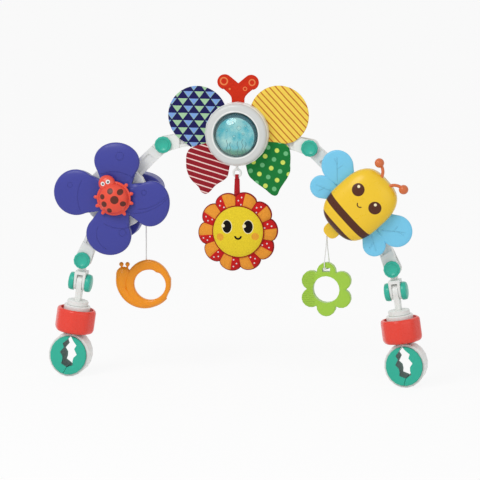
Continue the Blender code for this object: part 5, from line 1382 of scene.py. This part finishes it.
class ARCH_OT_sun(bpy.types.Operator):
    """Build the stuffed sun, its face and the ribbon that it hangs from"""
    bl_idname = "arch.sun"
    bl_label = "Sun"

    def execute(self, context):
        c = tones()
        tuft = measures().plush
        angle = round_angles(320) - math.pi
        outline = SUN + arc(angle, SUN_RADIUS + SUN_LOBE * petal_wave(angle))
        share = np.sin(np.linspace(0.02, 0.5, 34) * math.pi)
        share = np.concatenate([share, share[-2::-1]])
        face = np.where(np.arange(len(share)) < 34, -1, 1)
        depth = SUN_DEPTH + face * 8 * np.sqrt(np.clip(1 - share ** 6, 0, 1))
        body = pillow("sun_petals", outline, SUN, share, depth, sun_relief)
        settle(body, furry("sun_print", sun_pattern, tuft), "sun", ("sun_body",))
        self.face(c, tuft)
        self.ribbon(c)
        return {"FINISHED"}

    def face(self, c, tuft):
        """Round padded face with two oval eyes, cheeks and a smile, edged with piping."""
        angle = np.linspace(math.pi / 2 - 0.01, 0, 30)
        front = arc(angle, FACE_RADIUS, -6.7) + (0, FACE_DEPTH)
        profile = np.vstack([front, (33.0, -24.35), (0.2, -24.35)])
        face = turned("sun_face_pad", profile, FACE, 128)
        layers = []
        for x, z in ((-13.8, 7.2), (14.2, 7.5)):
            layers += [(c.gleam, disc(x, z, 6.9, 9.0)), (c.dark, disc(x, z, 6.0, 8.2)),
                       (c.gleam, disc(x - 5.2, z + 1.0, 2.3))]
        layers += [(c.cheek, disc(-23.0, -6.8, 4.8)), (c.cheek, disc(23.4, -5.0, 4.8)),
                   (c.dark, smile(1.0, -4.6, 3.9, 2.6, share=0.05))]
        finish = furry("sun_face_print", painted(c.face, layers, FACE), tuft)
        settle(face, finish, "sun", ("sun_face",))
        section = rounded_square(0.8, 0.8, 2.0, 12) + (FACE_RADIUS + 0.4, FACE_DEPTH)
        piping = hoop("face_piping", section, FACE, 160)
        settle(piping, furry("sun_piping", c.piping, tuft), "sun")

    def ribbon(self, c):
        """Ribbon round the hub's eye, its strip that widens downwards, its sewn-in end, and the
        round patch over the bend."""
        weave = cloth("ribbon_weave", c.ribbon, 0.4 * MM)
        turn = round_angles(48)[:, None]
        section = rounded_square(2.3, 0.33, 4.0, 16)
        across = np.broadcast_to(RIBBON_EYE[0] + section[:, 0], (48, 16))
        reach = 2.85 + section[:, 1]
        loop = np.stack([across, SUN_DEPTH + reach * np.sin(turn),
                         RIBBON_EYE[1] + reach * np.cos(turn)], axis=-1)
        settle(ring_surface("ribbon_loop", loop, looped=True), weave, "ribbon",
               ("sun_ribbon",))
        down = np.linspace(0, 1, 24)[:, None]
        slack = SUN_DEPTH + 0.3 * np.sin(down * math.pi * 2)
        section = rounded_square(1.0, 0.65, 4.0, 20)
        for name, body, top, bottom, first, last in RIBBONS:
            across = RIBBON_EYE[0] + (first + (last - first) * down) * section[:, 0]
            height = np.broadcast_to(RIBBON_EYE[1] + top + (bottom - top) * down, across.shape)
            strip = np.stack([across, slack + section[:, 1], height], axis=-1)
            settle(ring_surface(name, strip), weave, body)
        sewn = ((0.1, -15.1), (3.7, -15.15), (4.0, -16.0), (3.7, -16.85), (0.1, -16.9))
        settle(turned("ribbon_patch", sewn, RIBBON_PATCH, 40), weave, "sun")


# The bee, along axes of its own that follow the right arm's slope

BEE = np.array((389.31, 211.53))
BEE_LEAN = math.degrees(math.atan2(0.682, 0.731))
BEE_SIZE = (47.2, 38.0)
BEE_POWER = 2.9
BEE_MIDDLE = (2.0, 0.0)
TAIL = (-49.8, 0.0)
FEELER_ROOT = (44.0, 7.3)
FEELER_TIP = (58.5, 23.2)
FEELER_DEPTH = -32.5
WINGS = (("big_left", (13, 56.8), 21), ("big_right", (13, -56.8), 21),
         ("small_left", (-21, 50.8), 15.2), ("small_right", (-21, -50.8), 15.2))
# Raised lines on one side's wings: one along each wing, and twigs off it
VEINS = (((0, 43), (21, 66)), ((10.5, 54.5), (19, 53.4)), ((15, 59), (17, 67)),
         ((-15, 40), (-24, 58)), ((-19, 48), (-28, 50)))


def bee_place(points):
    """Flat points from the bee's own axes to the frame's."""
    return spun(np.asarray(points), BEE_LEAN) + BEE


def drop(middle, radius):
    """Wing: a circle's arc that faces away from the bee's middle, drawn in to a root halfway."""
    outward = math.atan2(middle[1], middle[0])
    head = arc(outward + np.radians(np.linspace(-112, 112, 48)), radius) + middle
    side = radius * 0.45 * np.array((-math.sin(outward), math.cos(outward)))
    root = np.array(middle) / 2
    return bee_place(np.vstack([head, root + side, root - side]))


class ARCH_OT_bee(bpy.types.Operator):
    """Build the bee's painted front, plain back and tail, wings and feelers"""
    bl_idname = "arch.bee"
    bl_label = "Bee"

    def execute(self, context):
        c = tones()
        outline = bee_place(rounded_square(*BEE_SIZE, BEE_POWER, 160) + BEE_MIDDLE)
        yellow = rigid_finish("yellow_plastic")
        share = np.concatenate([np.sin(np.linspace(0.01, 0.5, 30) * math.pi), [1.0, 0.985],
                                np.linspace(0.9, 0.03, 6)])
        rise = (1 - np.clip(share[:30], 0, 1) ** 2.6) ** (1 / 2.3)
        depth = np.concatenate([-29.5 - 18.5 * rise, [-26.9, -26.6], np.full(6, -26.5)])
        finish = plastic("bee_paint", painted(c.honey, self.paint(c), BEE, BEE_LEAN), 0.3,
                         coat=0.08)
        self.add("bee_body", outline, BEE_MIDDLE, share, depth, finish, "yellow_plastic",
                 ("bee_front",))
        share = np.concatenate([np.linspace(0.05, 0.95, 6), [0.972, 0.98, 0.98, 0.972],
                                0.965 * np.sin(np.linspace(0.48, 0.02, 20) * math.pi)])
        rise = (1 - np.clip(share[10:] / 0.98, 0, 1) ** 3) ** (1 / 2.2)
        depth = np.concatenate([np.full(6, -22.1), [-21.9, -21.0, -18.4, -16.4],
                                -16.2 + 9.9 * rise])
        self.add("bee_back_shell", outline, BEE_MIDDLE, share, depth, yellow, "yellow_plastic",
                 ("bee_back",))
        outline = bee_place(rounded_square(10.6, 10.6, 2.6, 60) + TAIL)
        share = np.concatenate([np.linspace(0.1, 0.9, 5), [0.97, 1.0, 1.0, 0.97],
                                np.linspace(0.9, 0.1, 5)])
        depth = np.concatenate([np.full(5, -21.8), [-21.5, -20.6, -13.5, -12.6],
                                np.full(5, -12.3)])
        self.add("bee_tail", outline, TAIL, share, depth, yellow, "yellow_plastic")
        self.wings(c)
        self.feelers(c)
        return {"FINISHED"}

    def add(self, name, outline, middle, share, depth, finish, slot, nodes=()):
        thing = pillow(name, outline, bee_place(middle), share, depth)
        settle(thing, finish, "right_bow", nodes)

    def paint(self, c):
        layers = [(c.brown, band(-24.7, -14.2)), (c.brown, band(-80, -36.6))]
        for across in (-16.0, 16.0):
            layers += [(c.brown, disc(17.1, across, 8.4)), (c.gleam, disc(20.4, across + 2.6, 1.9))]
        return layers + [(c.brown, smile(6.0, 0.2, 3.6, 1.5, towards=180.0, share=0.2))]

    def wings(self, c):
        """Flat plate between the two halves of the body, and four rounded wings."""
        veins = [stroke(*bee_place([(x, side * z) for x, z in vein]), 0.6)
                 for side in (-1, 1) for vein in VEINS]
        finish = plastic("wing_blue", c.sky, 0.36, coat=0.15, soft=0.1, marks=veins)
        plate = np.array(BEE_SIZE) * 0.985
        outline = bee_place(rounded_square(*plate, BEE_POWER, 120) + BEE_MIDDLE)
        share = np.concatenate([np.linspace(0.05, 1.0, 8), np.linspace(1.0, 0.05, 8)])
        depth = np.where(np.arange(16) < 8, -26.1, -22.5)
        self.add("bee_wing_plate", outline, BEE_MIDDLE, share, depth, finish, "blue_plastic",
                 ("bee_wings",))
        share = np.concatenate([np.linspace(0.04, 0.9, 10), [0.95, 0.98, 0.995, 1.0, 0.99, 0.95,
                                                             0.6, 0.05]])
        face = np.where(np.arange(len(share)) < 14, -1, 1)
        depth = -24.3 + face * 1.9 * np.sqrt(np.clip(1 - share ** 14, 0, 1))
        for name, middle, radius in WINGS:
            self.add("bee_wing_" + name, drop(middle, radius), middle, share, depth, finish,
                     "blue_plastic")

    def feelers(self, c):
        """Each feeler leaves the body along its length and turns out to its ball."""
        finish = plastic("feeler_rust", c.feeler, 0.32, coat=0.2)
        nodes = ("bee_antennae",)
        turn = np.linspace(0, math.pi / 2, 30)
        bend = np.stack([np.sin(turn), 1 - np.cos(turn)], axis=-1)
        flat = FEELER_ROOT + np.subtract(FEELER_TIP, FEELER_ROOT) * bend
        for name, side in (("left", 1), ("right", -1)):
            path = upright(bee_place(flat * (1, side)), FEELER_DEPTH)
            stem = bent_tube("bee_feeler_" + name, path, 2.1, 18)
            settle(stem, finish, "right_bow", nodes)
            nodes = ()
            ball = ellipsoid("bee_feeler_ball_" + name, path[-1], (6.2, 6.2, 6.2), rows=24,
                             columns=36)
            settle(ball, finish, "right_bow")


# The teether

class ARCH_OT_teether(bpy.types.Operator):
    """Build the soft green teether"""
    bl_idname = "arch.teether"
    bl_label = "Teether"

    def execute(self, context):
        finish = plastic("teether_lime", tones().lime, 0.36, coat=0.1, soft=0.1, marks=[ribs])
        polished("teether", finish)
        return {"FINISHED"}


# Panel, registration and the run

OPERATORS = (
    ARCH_OT_stage, ARCH_OT_cords, ARCH_OT_mouldings, ARCH_OT_flower, ARCH_OT_snail, ARCH_OT_hub,
    ARCH_OT_wings, ARCH_OT_sun, ARCH_OT_bee, ARCH_OT_teether,
)


class ARCH_PT_panel(bpy.types.Panel):
    """Lists the steps that dress the arch, with their colours and sizes"""
    bl_label = "Toy arch"
    bl_idname = "ARCH_PT_panel"
    bl_space_type = "VIEW_3D"
    bl_region_type = "UI"
    bl_category = "Toy arch"

    def draw(self, context):
        steps = self.layout.column(align=True)
        for operator in OPERATORS:
            steps.operator(operator.bl_idname)
        for settings in (measures(), tones()):
            box = self.layout.box()
            for name in settings.__annotations__:
                box.prop(settings, name)


CLASSES = (ToyColours, ToySizes) + OPERATORS + (ARCH_PT_panel,)


def tones():
    return bpy.context.scene.arch_colours


def measures():
    return bpy.context.scene.arch_sizes


def register():
    for each in CLASSES:
        bpy.utils.register_class(each)
    bpy.types.Scene.arch_colours = bpy.props.PointerProperty(type=ToyColours)
    bpy.types.Scene.arch_sizes = bpy.props.PointerProperty(type=ToySizes)


def unregister():
    del bpy.types.Scene.arch_sizes
    del bpy.types.Scene.arch_colours
    for each in reversed(CLASSES):
        bpy.utils.unregister_class(each)


def main():
    register()
    bpy.ops.arch.stage()
    bpy.ops.arch.cords()
    bpy.ops.arch.mouldings()
    bpy.ops.arch.flower()
    bpy.ops.arch.snail()
    bpy.ops.arch.hub()
    bpy.ops.arch.wings()
    bpy.ops.arch.sun()
    bpy.ops.arch.bee()
    bpy.ops.arch.teether()


if __name__ == "__main__":
    main()
